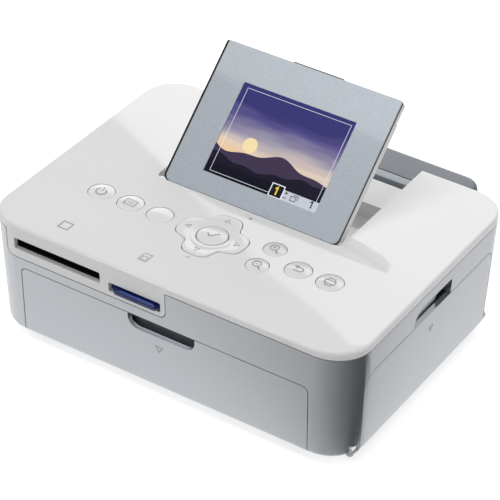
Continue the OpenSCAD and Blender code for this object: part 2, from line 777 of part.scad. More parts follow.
module side_cover() {
    color(LIGHT) {
        intersection() {
            case_wall(seam_z, door_t);
            along_x(side_axis_x, case_w) door_outline(side_cover_y0, side_cover_y1,
                side_cover_z, side_cover_front_r, side_cover_rear_r);
        }
        at_side_hinge(side_cover_y0, side_cover_y0 + door_boss_t) circle(door_boss_r);
        at_side_hinge(side_cover_y1 - door_boss_t, side_cover_y1) circle(door_boss_r);
        at_side_hinge(side_cover_y0 - door_gap - door_pin_l, side_cover_y0 + 1) circle(door_pin_r);
        at_side_hinge(side_cover_y1 - 1, side_cover_y1 + door_gap + door_pin_l) circle(door_pin_r);
    }
}

module feet() {
    color(RUBBER) for (p = FEET) translate([p[0], p[1], 0]) {
        cylinder(h = foot_h, r = foot_d / 2);
    }
}

module case_screws() {
    color(STEEL) for (b = BOSSES) translate([b[0], b[1], 0]) {
        translate([0, 0, head_seat - head_h]) cylinder(h = head_h, r = head_hole_r - 0.3);
        translate([0, 0, head_seat]) cylinder(h = boss_top + 3 - head_seat, r = screw_r);
    }
}

// ---------------------------------------------------------------- display

plate_x0 = -panel_w / 2 + 1.4;
plate_x1 = panel_w / 2;
nose_half = panel_w / 2 - 2.4;

module window_box(z0, z1, grow) {
    translate([window_x, window_from_pivot + window_l / 2, z0])
        linear_extrude(z1 - z0) square([window_w + 2 * grow, window_l + 2 * grow], center = true);
}

// Plan of the panel between two ends, with its own radius at the pivot and at the tip
module panel_plan(x0, x1) { mirror([0, 1]) arch(x0, -panel_l, x1, 0, panel_low_r, panel_low_r); }

module panel_slab(x0, x1, z0, z1) {
    along_z(z0, z1) intersection() {
        panel_plan(x0, x1);
        soft_rect(x0, -BIG, x1, panel_l, panel_tip_r);
    }
}

module lcd_face_plate() {
    color(SILVER) tilted() difference() {
        panel_slab(plate_x0, plate_x1, plate_low, nose_r);
        window_box(0, nose_r + 1, 0);
    }
}

module lcd_frame() {
    color(BLACK) tilted() difference() {
        union() {
            rod_x(-nose_half, nose_half, [0, 0], nose_r - nose_gap);
            panel_slab(-panel_w / 2, panel_w / 2, frame_low, plate_low);
            box([-10, 14.4], [panel_l - 1, panel_l + 0.6], [frame_low, plate_low]);
        }
        box([-BIG, BIG], [0, BIG], [plate_low, BIG]);
        window_box(frame_low - 1, nose_r, 1.6);
        for (s = [-1, 1]) rod_x(s * panel_w / 2 - 8, s * panel_w / 2 + 8, [0, 0], hinge_pin_r + bore_gap);
    }
}

module lcd_back_shell() {
    half = panel_w / 2;
    start = nose_r + nose_gap;
    color(WHITE) tilted() difference() {
        intersection() {
            panel_slab(-half, half, frame_low - 10, frame_low);
            along_x(-half, half) polygon([
                [start, frame_low], [start, frame_low - 2], [start + 2, frame_low - shell_t],
                [panel_l - 9.4, frame_low - shell_t], [panel_l - 9, frame_low - tip_t],
                [panel_l - 0.5, frame_low - tip_t], [panel_l, frame_low - tip_t + 0.5],
                [panel_l, frame_low]]);
        }
        window_box(frame_low - 2, frame_low + 1, 1.6);
    }
}

module lcd_module() {
    color([0.10, 0.12, 0.22]) tilted() window_box(frame_low - 1.9, plate_low, 1.5);
}

module lcd_window() {
    color([0.3, 0.35, 0.5, 0.5]) tilted() window_box(plate_low + 0.02, nose_r - 0.05, -0.05);
}

module lcd_hinge_pins() {
    color(STEEL) for (s = [-1, 1]) {
        x = [s * (panel_w / 2 - 6), s * (bay_w / 2 + bay_t - 0.1)];
        rod_x(min(x), max(x), [hinge_y, hinge_z], hinge_pin_r);
    }
}

// ---------------------------------------------------------------- keys

module key(x, y, d) {
    color(WHITE) translate([x, y, 0]) {
        translate([0, 0, flange_z]) cylinder(h = case_h + key_proud - flange_z, r = d / 2 - key_gap);
        translate([0, 0, flange_z]) cylinder(h = flange_t, r = d / 2 + 1);
        translate([0, 0, stem_z]) cylinder(h = flange_z - stem_z, r = 1.5);
    }
}

module power_button() { key(key_x[0], key_y, key_d); }
module menu_button() { key(key_x[1], key_y, key_d); }
module edit_button() { key(key_x[2], key_y, key_d); }
module back_button() { key(key_x[3], key_y, key_d); }
module print_button() { key(key_x[4], key_y, key_d); }
module zoom_in_button() { key(zoom_x, key_y + zoom_dy, zoom_key_d); }
module zoom_out_button() { key(zoom_x, key_y - zoom_dy, zoom_key_d); }

module ok_button() {
    low = shelf_z + key_travel + 0.5;
    color(WHITE) translate([pad_x, key_y, 0]) {
        translate([0, 0, low]) cylinder(h = case_h + key_proud + 0.3 - low, r = ok_key_d / 2 - pad_gap);
        translate([0, 0, stem_z]) cylinder(h = low - stem_z, r = 1.5);
    }
}

// Four-way ring that rocks on the carrier round the middle key
module direction_pad() {
    color(WHITE) translate([pad_x, key_y, 0]) difference() {
        union() {
            along_z(pad_low, case_h + key_proud) pad_outline(-pad_gap);
            along_z(pad_low, pad_low + pad_flange_t) pad_outline(1);
        }
        translate([0, 0, shelf_z]) cylinder(h = BIG, r = ok_key_d / 2);
        translate([0, 0, pad_low - 1]) cylinder(h = BIG, r = carrier_r + 0.3);
        for (s = [0, 180]) rotate(s) rod_x(0, carrier_r + 1.5, [0, pad_low + 0.7], 0.5);
    }
}

module pad_carrier() {
    color(NYLON) translate([pad_x, key_y, 0]) {
        difference() {
            along_z(board_top + 0.3, pad_low + 1.3) circle(carrier_r);
            translate([0, 0, board_top]) cylinder(h = 4, r = 3.4);
        }
        for (s = [0, 180]) rotate(s) rod_x(carrier_r - 0.4, carrier_r + 1.2, [0, pad_low + 0.7], 0.42);
    }
}

module key_board() {
    domes = concat([for (x = key_x) [x, key_y]], [for (s = [-1, 1]) [zoom_x, key_y + s * zoom_dy]],
        [[pad_x, key_y]], [for (a = [0:90:270]) [pad_x + 11 * cos(a), key_y + 11 * sin(a)]]);
    color(BOARD) {
        box([board_x0, board_x1], [board_y0, board_y1], [board_top - board_t, board_top]);
        for (d = domes) translate([d[0], d[1], board_top]) cylinder(h = dome_h, r = dome_r);
    }
}

// ---------------------------------------------------------------- cards and boards

main_from_front = 4.9;
main_l = 29.1;

module main_board() {
    y0 = front_y + main_from_front;
    y1 = y0 + main_l;
    can_h = 0.62 * (main_top - main_t - bay_z1);
    color(BOARD) {
        box([main_x0, main_x1], [y0, y1], [main_top - main_t, main_top]);
        box([main_x1 - 30, main_x1 - 14], [y0 + 6, y0 + 22], [main_top, main_top + 1.6]);
        box([main_x1 - 10, main_x1 - 2], [y0 + 8, y0 + 18], [main_top, main_top + 1.2]);
        for (i = [0 : 2]) translate([main_x0 + 36.5 + 12 * i, y1 - 5, main_top - main_t - can_h])
            cylinder(h = can_h, r = 3.2);
    }
}

module card_reader() {
    cf_x1 = cf_x0 + cf_w;
    color(BLACK) difference() {
        union() {
            box([cf_x0 - 1.4, cf_x1 + 1.4], [reader_y0, reader_y1], [main_top, reader_top]);
            box([cf_x1, sd_x0 + sd_w + 1.4], [reader_y0, reader_y1 - 3], [main_top, sd_z + sd_h + 1]);
        }
        box([cf_x0, cf_x1], [reader_y0 - 1, reader_y1 - 2], [cf_z + 0.4, cf_z + cf_h - 0.2]);
        box([card_x - card_w / 2 - 0.3, card_x + card_w / 2 + 0.3], [reader_y0 - 1, reader_y1 - 5],
            [card_z - 0.3, card_z + card_t + 0.5]);
    }
}

// Memory card with its clipped corner and a thin label face
module memory_card() {
    half = card_w / 2;
    y0 = front_y - card_out;
    y1 = y0 + card_l;
    color([0.05, 0.12, 0.35]) translate([card_x, 0, 0]) along_z(card_z, card_z + card_t)
        polygon([[-half, y0 + 4], [-half + 4, y0], [half, y0], [half, y1], [-half, y1]]);
}

cable_w = 10;
cable_end_z = bay_z1 + 5.3;

module ribbon_cable() {
    x = main_x1 + 6;
    y0 = board_y0 + 6;
    color([0.75, 0.72, 0.62]) along_x(x, x + cable_w) polygon([
        [y0, board_top - board_t], [y0, board_top - board_t - 0.4], [y0 - 2, board_top - board_t - 0.4],
        [y0 - 2, cable_end_z], [y0 - 2.4, cable_end_z], [y0 - 2.4, board_top - board_t]]);
}

// ---------------------------------------------------------------- print works

// Outline of a chassis side plate in (y, z), with a tall ear for the head's pivot
module side_plate_profile() {
    translate([chassis_y0, chassis_z0]) square([chassis_y1 - chassis_y0, chassis_z1 - chassis_z0]);
    translate([arm_axis_y - 6, chassis_z0])
        square([chassis_y1 - arm_axis_y + 6, arm_axis_z + 4 - chassis_z0]);
}

module chassis_frame() {
    color(STEEL) difference() {
        union() {
            for (s = [-1, 1]) {
                x = s * (chassis_half + sheet_t / 2);
                along_x(x - sheet_t / 2, x + sheet_t / 2) side_plate_profile();
            }
            box([-plate_out, plate_out], [chassis_floor_y, chassis_y1], [chassis_z0, chassis_z0 + sheet_t]);
        }
        // shaft holes through both plates
        for (p = [[print_y, platen_z], [grip_y, grip_z], pickup_p])
            rod_x(-BIG, BIG, p, shaft_r + shaft_gap);
        rod_x(-BIG, BIG, [grip_y, pinch_z], pinch_shaft_r + shaft_gap);
        rod_x(-BIG, BIG, [arm_axis_y, arm_axis_z], arm_pin_r + shaft_gap);
        // drive shaft of the take-up spool
        rod_x(-BIG, 0, [takeup_y, spool_z], shaft_r + shaft_gap);
        // the cassette enters through the right plate
        along_x(0, BIG) soft_rect(takeup_y - tube_r - 0.6, spool_z - tube_r - 0.5,
            supply_y + tube_r + 0.6, spool_z + tube_r + 0.5, 4);
    }
    color(STEEL) lever_bracket();
}

// Two tabs on the right plate with the pin that the cassette lever turns on
module lever_bracket() {
    for (y = [lever_y - lever_gap - sheet_t, lever_y + lever_w + lever_gap])
        box([chassis_half + 0.1, lever_x + 1.8], [y, y + sheet_t], [lever_z - 1.8, chassis_z1]);
    rod_y(lever_y - lever_gap - 0.5, lever_y + lever_w + lever_gap + 0.5, [lever_x, lever_z], lever_pin_r);
}

pinch_shaft_r = 1.5;
arm_pin_r = 1.5;

gear_plate_front = 48;
gear_plate_back = 27;
gear_plate_z0 = chassis_z0 + 1.7;
spacer_r = 2;
top_spacer_z = idler_p[1] + gear_m * (idler_teeth / 2 + 1) + 2.8 + spacer_r;
gear_plate_z1 = top_spacer_z + 1.3 * spacer_r;

module gear_plate() {
    x0 = gear_plate_x - sheet_t;
    y0 = print_y - gear_plate_front;
    y1 = print_y + gear_plate_back;
    color(STEEL) {
        difference() {
            box([x0, gear_plate_x], [y0, y1], [gear_plate_z0, gear_plate_z1]);
            for (p = [ribbon_pinion_p, feed_pinion_p]) rod_x(x0 - 1, gear_plate_x + 1, p, shaft_r + 0.5);
        }
        for (p = [[y0 + 6 * spacer_r, gear_plate_z0 + 2 * spacer_r],
                [print_y - spacer_r / 2, gear_plate_z0 + spacer_r / 2],
                [y1 - 2 * spacer_r, top_spacer_z]])
            rod_x(gear_plate_x, -plate_out, p, spacer_r);
        // stud that carries the idler
        rod_x(gear_plate_x, -plate_out, idler_p, shaft_r);
    }
}

// Tray for the paper cassette, open in front and behind, with posts for the main board
module paper_bay() {
    color(LIGHT) {
        difference() {
            box([-bay_half, bay_half], [bay_front_y, bay_back_y], [bay_z0, bay_z1]);
            box([-bay_half + bay_wall, bay_half - bay_wall], [bay_front_y - 1, bay_back_y + 1],
                [bay_z0 + bay_wall, bay_z1 - bay_wall]);
            // gap in the roof for the pick-up roller
            box([-18, 18], [pickup_p[0] - 8, bay_back_y + 1], [bay_z1 - bay_wall - 1, bay_z1 + 1]);
            // clearance in front for the tongue behind the front cover
            box([-front_notch_w - 1, front_notch_w + 1], [bay_front_y - 1, front_y + 11],
                [bay_z1 - 6.5, bay_z1 + 1]);
        }
        for (x = [-bay_half + 6, main_x1 - 6], y = [front_y + 11, front_y + 30])
            translate([x, y, bay_z1 - 0.5]) cylinder(h = main_top - main_t - bay_z1 + 0.5, r = 2.5);
    }
}

module pickup_roller() {
    color(RUBBER) rod_x(-15, 15, pickup_p, pickup_r);
    color(STEEL) rod_x(gear_x, plate_out + 1, pickup_p, shaft_r);
    color(NYLON) gear(gear_x - gear_t, gear_x, pickup_p, pickup_teeth, pickup_angle + 180);
}

module platen_roller() {
    color(RUBBER) rod_x(-roller_half, roller_half, [print_y, platen_z], platen_r);
    color(STEEL) rod_x(-plate_out - 1, plate_out + 1, [print_y, platen_z], shaft_r);
}

module grip_roller() {
    color(STEEL) {
        rod_x(-roller_half, roller_half, [grip_y, grip_z], grip_r);
        rod_x(gear_x, plate_out + 1, [grip_y, grip_z], shaft_r);
    }
    color(NYLON) gear(gear_x - gear_t, gear_x, [grip_y, grip_z], grip_teeth, idler_angle);
}

module pinch_roller() {
    color(RUBBER) for (i = [-1 : 1]) {
        x = i * (roller_half - 18);
        rod_x(x - 8, x + 8, [grip_y, pinch_z], pinch_r);
    }
    color(STEEL) rod_x(-plate_out - 0.6, plate_out + 0.6, [grip_y, pinch_z], pinch_shaft_r);
}

head_z0 = 24.5;
fin_z0 = head_z0 + 5;
fin_step = (arm_z - 1.2 - fin_z0) / 2.75;

// Heat sink with fins and the ceramic strip that prints
module thermal_head() {
    color([0.75, 0.76, 0.78]) difference() {
        box([-head_half, head_half], [print_y - 4, print_y + 4], [head_z0 + 1.5, arm_z]);
        for (i = [0 : 2]) for (s = [-1, 1])
            box([-head_half - 1, head_half + 1], [print_y + s * 5 - 3, print_y + s * 5 + 3],
                [fin_z0 + fin_step * i, fin_z0 + fin_step * (i + 0.5)]);
    }
    color(NYLON) box([-head_half, head_half], [print_y - 3, print_y + 3], [head_z0, head_z0 + 1.5]);
}

module head_arm() {
    x = chassis_half - 1.5;
    color(STEEL) difference() {
        union() {
            box([-head_half, head_half], [print_y - 5, arm_axis_y - 6], [arm_z, arm_z + arm_t]);
            for (s = [-1, 1]) box([s * (x - 3.5) - 3, s * (x - 3.5) + 3], [print_y - 5, arm_axis_y - 3],
                [arm_z, arm_z + arm_t]);
            for (s = [-1, 1]) box([s * (x - 1.5) - 1, s * (x - 1.5) + 1], [arm_axis_y - 9, arm_axis_y + 3],
                [arm_z, arm_axis_z + 3]);
            rod_x(-plate_out - 0.8, plate_out + 0.8, [arm_axis_y, arm_axis_z], arm_pin_r);
        }
    }
}

module motor(p) {
    x1 = gear_plate_x - sheet_t;
    color(GREY) rod_x(x1 - motor_l, x1, p, motor_d / 2);
    color(STEEL) rod_x(x1, x1 + 0.9, p, shaft_r);
}

// Motor shaft and pinion turn together inside the gear plate's clearance hole.
module pinion(p, teeth, phase) {
    color(NYLON) gear(gear_x - gear_t, gear_x, p, teeth, phase);
    color(STEEL) rod_x(gear_plate_x - sheet_t + 1.2, gear_x - gear_t, p, 1.4);
}

module feed_motor() { motor(feed_pinion_p); }
module ribbon_motor() { motor(ribbon_pinion_p); }

module feed_pinion() {
    pinion(feed_pinion_p, feed_pinion_teeth, idler_angle + 180);
}

module ribbon_pinion() {
    pinion(ribbon_pinion_p, ribbon_pinion_teeth, pickup_angle + 180 + 180 / ribbon_pinion_teeth);
}

// The idler meshes with the grip gear on one side and the feed pinion on the other.
module idler_gear() {
    color(NYLON) difference() {
        gear(gear_x - gear_t, gear_x, idler_p, idler_teeth, idler_angle + 180 + 180 / idler_teeth);
        rod_x(gear_x - gear_t - 1, gear_x + 1, idler_p, shaft_r + shaft_gap);
    }
}

module takeup_gear() {
    color(NYLON) gear(gear_x - gear_t, gear_x, [takeup_y, spool_z], takeup_teeth, pickup_angle);
    color(STEEL) rod_x(gear_x, cassette_x0 + 1.6, [takeup_y, spool_z], shaft_r);
}

// ---------------------------------------------------------------- ink cassette

module cassette_case() {
    color([0.72, 0.74, 0.76]) difference() {
        union() {
            for (y = [takeup_y, supply_y]) rod_x(cassette_x0, cassette_x1, [y, spool_z], tube_r);
            // bars that join the two tubes at both ends, and the handle
            box([cassette_x0, cassette_x0 + 1.6], [takeup_y, supply_y], [spool_z - 3, spool_z + 5]);
            box([cassette_x1 - 3, cassette_x1], [takeup_y, supply_y], [spool_z - 8, spool_z + 5]);
            box([cassette_x1, handle_x1], [print_y - 14, print_y + 14], [spool_z - 5, spool_z + 5]);
        }
        for (y = [takeup_y, supply_y])
            rod_x(cassette_x0 + tube_t, cassette_x1 - 3, [y, spool_z], tube_r - tube_t);
        rod_x(cassette_x0 - 1, cassette_x0 + tube_t + 1, [takeup_y, spool_z], shaft_r + 0.3);
        // finger hollows in the handle, and the slots that let the film out
        for (s = [-1, 1]) box([cassette_x1 + 4, handle_x1 - 4], [print_y + s * 14 - 5, print_y + s * 14 + 5],
            [spool_z - 6, spool_z + 6]);
    }
}

// Spool with its core, two flanges and the film wound on it
module spool(y, film_r) {
    x0 = cassette_x0 + tube_t + 0.5;
    x1 = cassette_x1 - 3.5;
    color(NYLON) {
        rod_x(x0 + 0.8, x1, [y, spool_z], 3.2);
        for (x = [x0 + 0.8, x1 - 1.5]) rod_x(x, x + 1.5, [y, spool_z], tube_r - tube_t - 0.5);
    }
    color([0.35, 0.10, 0.20]) rod_x(x0 + 3, x1 - 2.2, [y, spool_z], film_r);
}

module takeup_spool() { spool(takeup_y, tube_r * 0.44); }
module supply_spool() { spool(supply_y, tube_r * 0.7); }

module ink_ribbon() {
    x = head_half + 0.5;
    y = spool_off - 5;
    color([0.55, 0.15, 0.25]) box([-x, x], [print_y - y, print_y + y], [ribbon_z, ribbon_z + 0.2]);
}

// Latch that drops in front of the cassette's handle
lever_w = 8;
lever_l = 18.5;
lever_gap = 0.3;
lever_pin_r = 1;
lever_x = plate_out + 4;
lever_y = print_y - 2;
lever_z = chassis_z1 - 2;

module cassette_lever() {
    color([0.9, 0.45, 0.1]) difference() {
        union() {
            rod_y(lever_y, lever_y + lever_w, [lever_x, lever_z], 2.2);
            box([lever_x, lever_x + lever_l], [lever_y, lever_y + lever_w], [lever_z - 0.6, lever_z + 1.2]);
            box([handle_x1 + 0.5, lever_x + lever_l], [lever_y, lever_y + lever_w],
                [spool_z + 4, lever_z + 1.2]);
        }
        rod_y(lever_y - 1, lever_y + lever_w + 1, [lever_x, lever_z], lever_pin_r + shaft_gap);
    }
}

module rod_y(y0, y1, p, r) { translate([p[0], y1, p[1]]) rotate([90, 0, 0]) cylinder(h = y1 - y0, r = r); }

// ---------------------------------------------------------------- fan and ports

fan_y0 = BOSSES[0][1] + boss_r + 0.4;
fan_z0 = floor_z + 4.3;
fan_x0 = -case_w / 2 + side_in(fan_z0) + wall_t + 0.3;
fan_t = 8;

module fan_frame() {
    mid = fan_side / 2;
    color(BLACK) translate([fan_x0, fan_y0, fan_z0]) difference() {
        box([0, fan_t], [0, fan_side], [0, fan_side]);
        translate([-1, mid, mid]) rotate([0, 90, 0]) cylinder(h = fan_t - 0.5, r = mid - 1.2);
        for (a = [0:30:330]) translate([fan_t - 2, mid, mid]) rotate([a, 0, 0])
            box([0, 4], [-0.8, 0.8], [7, mid - 2.4]);
    }
}

module fan_rotor() {
    mid = fan_side / 2;
    color(BLACK) translate([fan_x0 + 1.2, fan_y0 + mid, fan_z0 + mid]) {
        rotate([0, 90, 0]) cylinder(h = fan_t - 3, r = 5.5);
        for (a = [0:51.43:308.6]) rotate([a, 0, 0]) translate([0.4, 0, 0]) rotate([0, 0, 28])
            box([0, 5], [-0.4, 0.4], [5, mid - 2]);
    }
}

inlet_w = 11;
inlet_x = gear_x - gear_t - 1 - inlet_w / 2;
inlet_h = 10;
inlet_z = floor_z + 2.8;
inlet_l = 13;
usb_x = case_w / 2 - 24;
usb_w = 9;
usb_h = 5;
usb_z = floor_z + 4.8;
usb_l = 10;

module dc_inlet() {
    color(BLACK) difference() {
        box([inlet_x - inlet_w / 2, inlet_x + inlet_w / 2], [rear_y - inlet_l, rear_y - 0.3],
            [inlet_z, inlet_z + inlet_h]);
        rod_y(rear_y - inlet_l + 2, rear_y + 1, [inlet_x, inlet_z + inlet_h / 2], 3.2);
    }
    color(STEEL) rod_y(rear_y - inlet_l + 1, rear_y - 2, [inlet_x, inlet_z + inlet_h / 2], 0.85);
}

module usb_port() {
    color(STEEL) difference() {
        box([usb_x - usb_w / 2, usb_x + usb_w / 2], [rear_y - usb_l, rear_y - 0.3], [usb_z, usb_z + usb_h]);
        box([usb_x - usb_w / 2 + 0.6, usb_x + usb_w / 2 - 0.6], [rear_y - usb_l + 1, rear_y],
            [usb_z + 0.6, usb_z + usb_h - 0.6]);
    }
    color(BLACK) box([usb_x - 3, usb_x + 3], [rear_y - usb_l + 0.5, rear_y - 2], [usb_z + 2, usb_z + 3]);
}

// ---------------------------------------------------------------- assembly

bottom_case();
top_cover();
bay_floor();
exit_guide();
rear_housing();
front_cover();
side_cover();
feet();
case_screws();
lcd_face_plate();
lcd_frame();
lcd_back_shell();
lcd_module();
lcd_window();
lcd_hinge_pins();
power_button();
menu_button();
edit_button();
ok_button();
direction_pad();
pad_carrier();
zoom_in_button();
zoom_out_button();
back_button();
print_button();
key_board();
main_board();
card_reader();
memory_card();
chassis_frame();
gear_plate();
paper_bay();
pickup_roller();
platen_roller();
grip_roller();
pinch_roller();
thermal_head();
head_arm();
feed_motor();
feed_pinion();
idler_gear();
ribbon_motor();
ribbon_pinion();
takeup_gear();
cassette_case();
supply_spool();
takeup_spool();
ink_ribbon();
cassette_lever();
fan_frame();
fan_rotor();
dc_inlet();
usb_port();
ribbon_cable();
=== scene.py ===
"""Looks of the compact photo printer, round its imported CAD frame.

Shapes and the camera are placed in millimetres and become metres when Blender gets them. Lamps,
the floor and the world are in metres.
"""

import json
import math

import bpy
from mathutils import Matrix, Vector


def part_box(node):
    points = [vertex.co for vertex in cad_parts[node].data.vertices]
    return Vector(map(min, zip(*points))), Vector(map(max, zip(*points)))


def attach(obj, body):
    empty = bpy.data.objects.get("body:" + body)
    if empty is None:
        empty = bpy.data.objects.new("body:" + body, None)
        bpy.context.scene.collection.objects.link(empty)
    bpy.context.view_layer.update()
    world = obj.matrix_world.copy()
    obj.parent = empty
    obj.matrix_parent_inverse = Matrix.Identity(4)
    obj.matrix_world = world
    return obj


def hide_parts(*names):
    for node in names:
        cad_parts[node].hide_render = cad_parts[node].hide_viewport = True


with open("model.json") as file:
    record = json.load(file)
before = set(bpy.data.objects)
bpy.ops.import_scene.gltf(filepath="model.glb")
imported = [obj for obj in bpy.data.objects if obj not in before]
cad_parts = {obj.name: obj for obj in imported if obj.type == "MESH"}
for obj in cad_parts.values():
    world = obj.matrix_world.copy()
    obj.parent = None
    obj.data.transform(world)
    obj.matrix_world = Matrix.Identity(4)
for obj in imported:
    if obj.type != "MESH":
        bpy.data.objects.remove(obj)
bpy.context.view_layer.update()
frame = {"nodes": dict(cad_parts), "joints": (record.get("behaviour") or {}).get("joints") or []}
nodes = frame["nodes"]

# ---------------------------------------------------------------- sizes, from the frame

MM = 0.001


def corners_mm(node):
    """Lowest and highest corner of a CAD node, in millimetres."""
    low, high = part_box(node)
    return Vector(low) / MM, Vector(high) / MM


def joint(name):
    return next(j for j in frame["joints"] if j["name"] == name)


top_low, top_high = corners_mm("top_cover")
HALF_W = top_high.x
CASE_H = top_high.z
FRONT_Y = top_low.y

# How far the front and the sides lean in on the way down, as a share of the height
FRONT_LEAN = 4.2 / CASE_H
SIDE_LEAN = 1.8 / CASE_H

# The display's pivot, its angle over the top face, and its window in the panel's own axes
HINGE = Vector(joint("display_tilt")["pos_m"]) / MM
TILT = math.radians(42.5)
WINDOW_X0, WINDOW_X1 = -26.9, 28.6
WINDOW_Y0, WINDOW_Y1 = 9.4, 51.4


def centre(node):
    low, high = corners_mm(node)
    return (low + high) / 2


# ---------------------------------------------------------------- frames that a flat shape is drawn in


def place(origin, u, v, n):
    """Maps (a, b, height) in a plane's own axes to the frame of the whole part."""
    origin = Vector(origin)
    u, v, n = (Vector(axis).normalized() for axis in (u, v, n))
    return lambda a, b, h=0.0: origin + u * a + v * b + n * h


def level(z):
    """The horizontal plane at a height over the table."""
    return place((0, 0, z), (1, 0, 0), (0, 1, 0), (0, 0, 1))


on_top = level(CASE_H)
on_panel = place(HINGE, (1, 0, 0), (0, math.cos(TILT), math.sin(TILT)),
                 (0, -math.sin(TILT), math.cos(TILT)))
on_front = place((0, FRONT_Y + FRONT_LEAN * CASE_H, 0), (1, 0, 0), (0, -FRONT_LEAN, 1),
                 (0, -1, -FRONT_LEAN))
on_side = place((HALF_W - SIDE_LEAN * CASE_H, 0, 0), (0, 1, 0), (SIDE_LEAN, 0, 1),
                (1, 0, -SIDE_LEAN))


def raised(where, a, b, h=0.0):
    """A plane with its origin moved, so that a mark is drawn about its own middle."""
    return lambda x, y, z=0.0: where(a + x, b + y, h + z)


# ---------------------------------------------------------------- materials

# Where nearly all of a noise texture's values lie
NOISE_LOW, NOISE_HIGH = 0.3, 0.7
COAT_ROUGHNESS = 0.04
UNLIT_INK = (0.01, 0.01, 0.012, 1)
SHEEN_IOR = 1.05


def new_material(name):
    material = bpy.data.materials.new(name)
    material.use_nodes = True
    tree = material.node_tree
    return material, tree, tree.nodes["Principled BSDF"]


def object_noise(tree, scale, detail=3.0, stretch=None):
    """Noise in the object's own coordinates, stretched by a factor for each axis."""
    coords = tree.nodes.new("ShaderNodeTexCoord")
    noise = tree.nodes.new("ShaderNodeTexNoise")
    noise.inputs["Scale"].default_value = scale
    noise.inputs["Detail"].default_value = detail
    source = coords.outputs["Object"]
    if stretch:
        mapping = tree.nodes.new("ShaderNodeMapping")
        mapping.inputs["Scale"].default_value = stretch
        tree.links.new(source, mapping.inputs["Vector"])
        source = mapping.outputs["Vector"]
    tree.links.new(source, noise.inputs["Vector"])
    return noise.outputs["Fac"]


def vary_colour(tree, shader, colour, amount, fac):
    """Base colour that wanders a little either side of the written one."""
    ramp = tree.nodes.new("ShaderNodeValToRGB")
    ends = ((NOISE_LOW, 1 - amount), (NOISE_HIGH, 1 + amount))
    for element, (position, factor) in zip(ramp.color_ramp.elements, ends):
        element.position = position
        element.color = [min(c * factor, 1.0) for c in colour] + [1.0]
    tree.links.new(fac, ramp.inputs["Fac"])
    tree.links.new(ramp.outputs["Color"], shader.inputs["Base Color"])


def vary_roughness(tree, shader, low, high, fac):
    """Roughness that runs between two values with a noise."""
    spread = tree.nodes.new("ShaderNodeMapRange")
    spread.inputs["From Min"].default_value = NOISE_LOW
    spread.inputs["From Max"].default_value = NOISE_HIGH
    spread.inputs["To Min"].default_value = low
    spread.inputs["To Max"].default_value = high
    tree.links.new(fac, spread.inputs["Value"])
    tree.links.new(spread.outputs["Result"], shader.inputs["Roughness"])


def grain(tree, shader, fac, strength, height):
    """Bump from a noise, with its height in millimetres."""
    bump = tree.nodes.new("ShaderNodeBump")
    bump.inputs["Strength"].default_value = strength
    bump.inputs["Distance"].default_value = height * MM
    tree.links.new(fac, bump.inputs["Height"])
    tree.links.new(bump.outputs["Normal"], shader.inputs["Normal"])


def surface(name, colour, rough, metal=0.0, amount=0.02, broad=30.0, fine=2500.0, bump=0.1,
            height=0.02, specular=0.5, coat=0.0, stretch=None):
    """A moulded or machined surface: colour and roughness that drift, and a fine grain."""
    material, tree, shader = new_material(name)
    vary_colour(tree, shader, colour, amount, object_noise(tree, broad))
    vary_roughness(tree, shader, rough * 0.9, rough * 1.1, object_noise(tree, broad * 3.7))
    grain(tree, shader, object_noise(tree, fine, 2.0, stretch), bump, height)
    shader.inputs["Metallic"].default_value = metal
    shader.inputs["Specular IOR Level"].default_value = specular
    shader.inputs["Coat Weight"].default_value = coat
    shader.inputs["Coat Roughness"].default_value = COAT_ROUGHNESS
    material.diffuse_color = (*colour, 1)
    return material


def glow(name, colour):
    """Lit display ink: emission with a dark base below it."""
    material, tree, shader = new_material(name)
    shader.inputs["Base Color"].default_value = UNLIT_INK
    shader.inputs["Roughness"].default_value = 0.5
    shader.inputs["Emission Color"].default_value = (*colour, 1)
    shader.inputs["Emission Strength"].default_value = 1.0
    shader.inputs["Specular IOR Level"].default_value = 0.0
    vary_roughness(tree, shader, 0.48, 0.52, object_noise(tree, 400.0))
    return material


WHITE = surface("white_gloss", (0.84, 0.84, 0.835), 0.30, amount=0.005, bump=0.02, height=0.002,
                specular=0.0, coat=1.0)
SATIN = surface("light_satin", (0.58, 0.60, 0.63), 0.22, metal=0.84, amount=0.008, bump=0.02,
                height=0.005)
SHELL = surface("shell_satin", (0.80, 0.805, 0.81), 0.36, amount=0.012, bump=0.10, height=0.02)
GREY = surface("grey_satin", (0.09, 0.105, 0.125), 0.25, metal=0.2, amount=0.02, bump=0.02,
               height=0.005)
STRIP = surface("strip_satin", (0.36, 0.40, 0.44), 0.30, amount=0.02, bump=0.08, height=0.02)
PLATE = surface("silver_plate", (0.315, 0.35, 0.39), 0.34, metal=0.38, amount=0.10, broad=1800.0,
                bump=0.02, height=0.005, coat=1.0)
BLACK = surface("black_plastic", (0.008, 0.008, 0.010), 0.40, amount=0.1, bump=0.15, specular=0.2)
MARK = surface("printed_grey", (0.33, 0.34, 0.35), 0.5, amount=0.04, bump=0.05, height=0.005)
FAINT = surface("printed_pale", (0.46, 0.465, 0.47), 0.45, amount=0.03, bump=0.05, height=0.005)
CARD = surface("card_blue", (0.006, 0.018, 0.13), 0.20, amount=0.05, bump=0.05, coat=0.4)
# Lighter blue for the card's ridge: a painted highlight along it
CARD_RIDGE_HIGHLIGHT = surface("card_ridge_highlight", (0.05, 0.12, 0.42), 0.25, amount=0.05, bump=0.05)
STEEL = surface("steel_sheet", (0.56, 0.57, 0.58), 0.30, metal=1.0, amount=0.03, bump=0.12,
                height=0.01, stretch=(1, 1, 30))
ALUMINIUM = surface("aluminium", (0.70, 0.71, 0.73), 0.28, metal=1.0, amount=0.03,
                    stretch=(1, 40, 40))
MOTOR = surface("motor_zinc", (0.42, 0.43, 0.45), 0.38, metal=1.0, amount=0.06, broad=90.0)
RUBBER = surface("rubber_black", (0.025, 0.025, 0.027), 0.75, amount=0.15, fine=1500.0, bump=0.3)
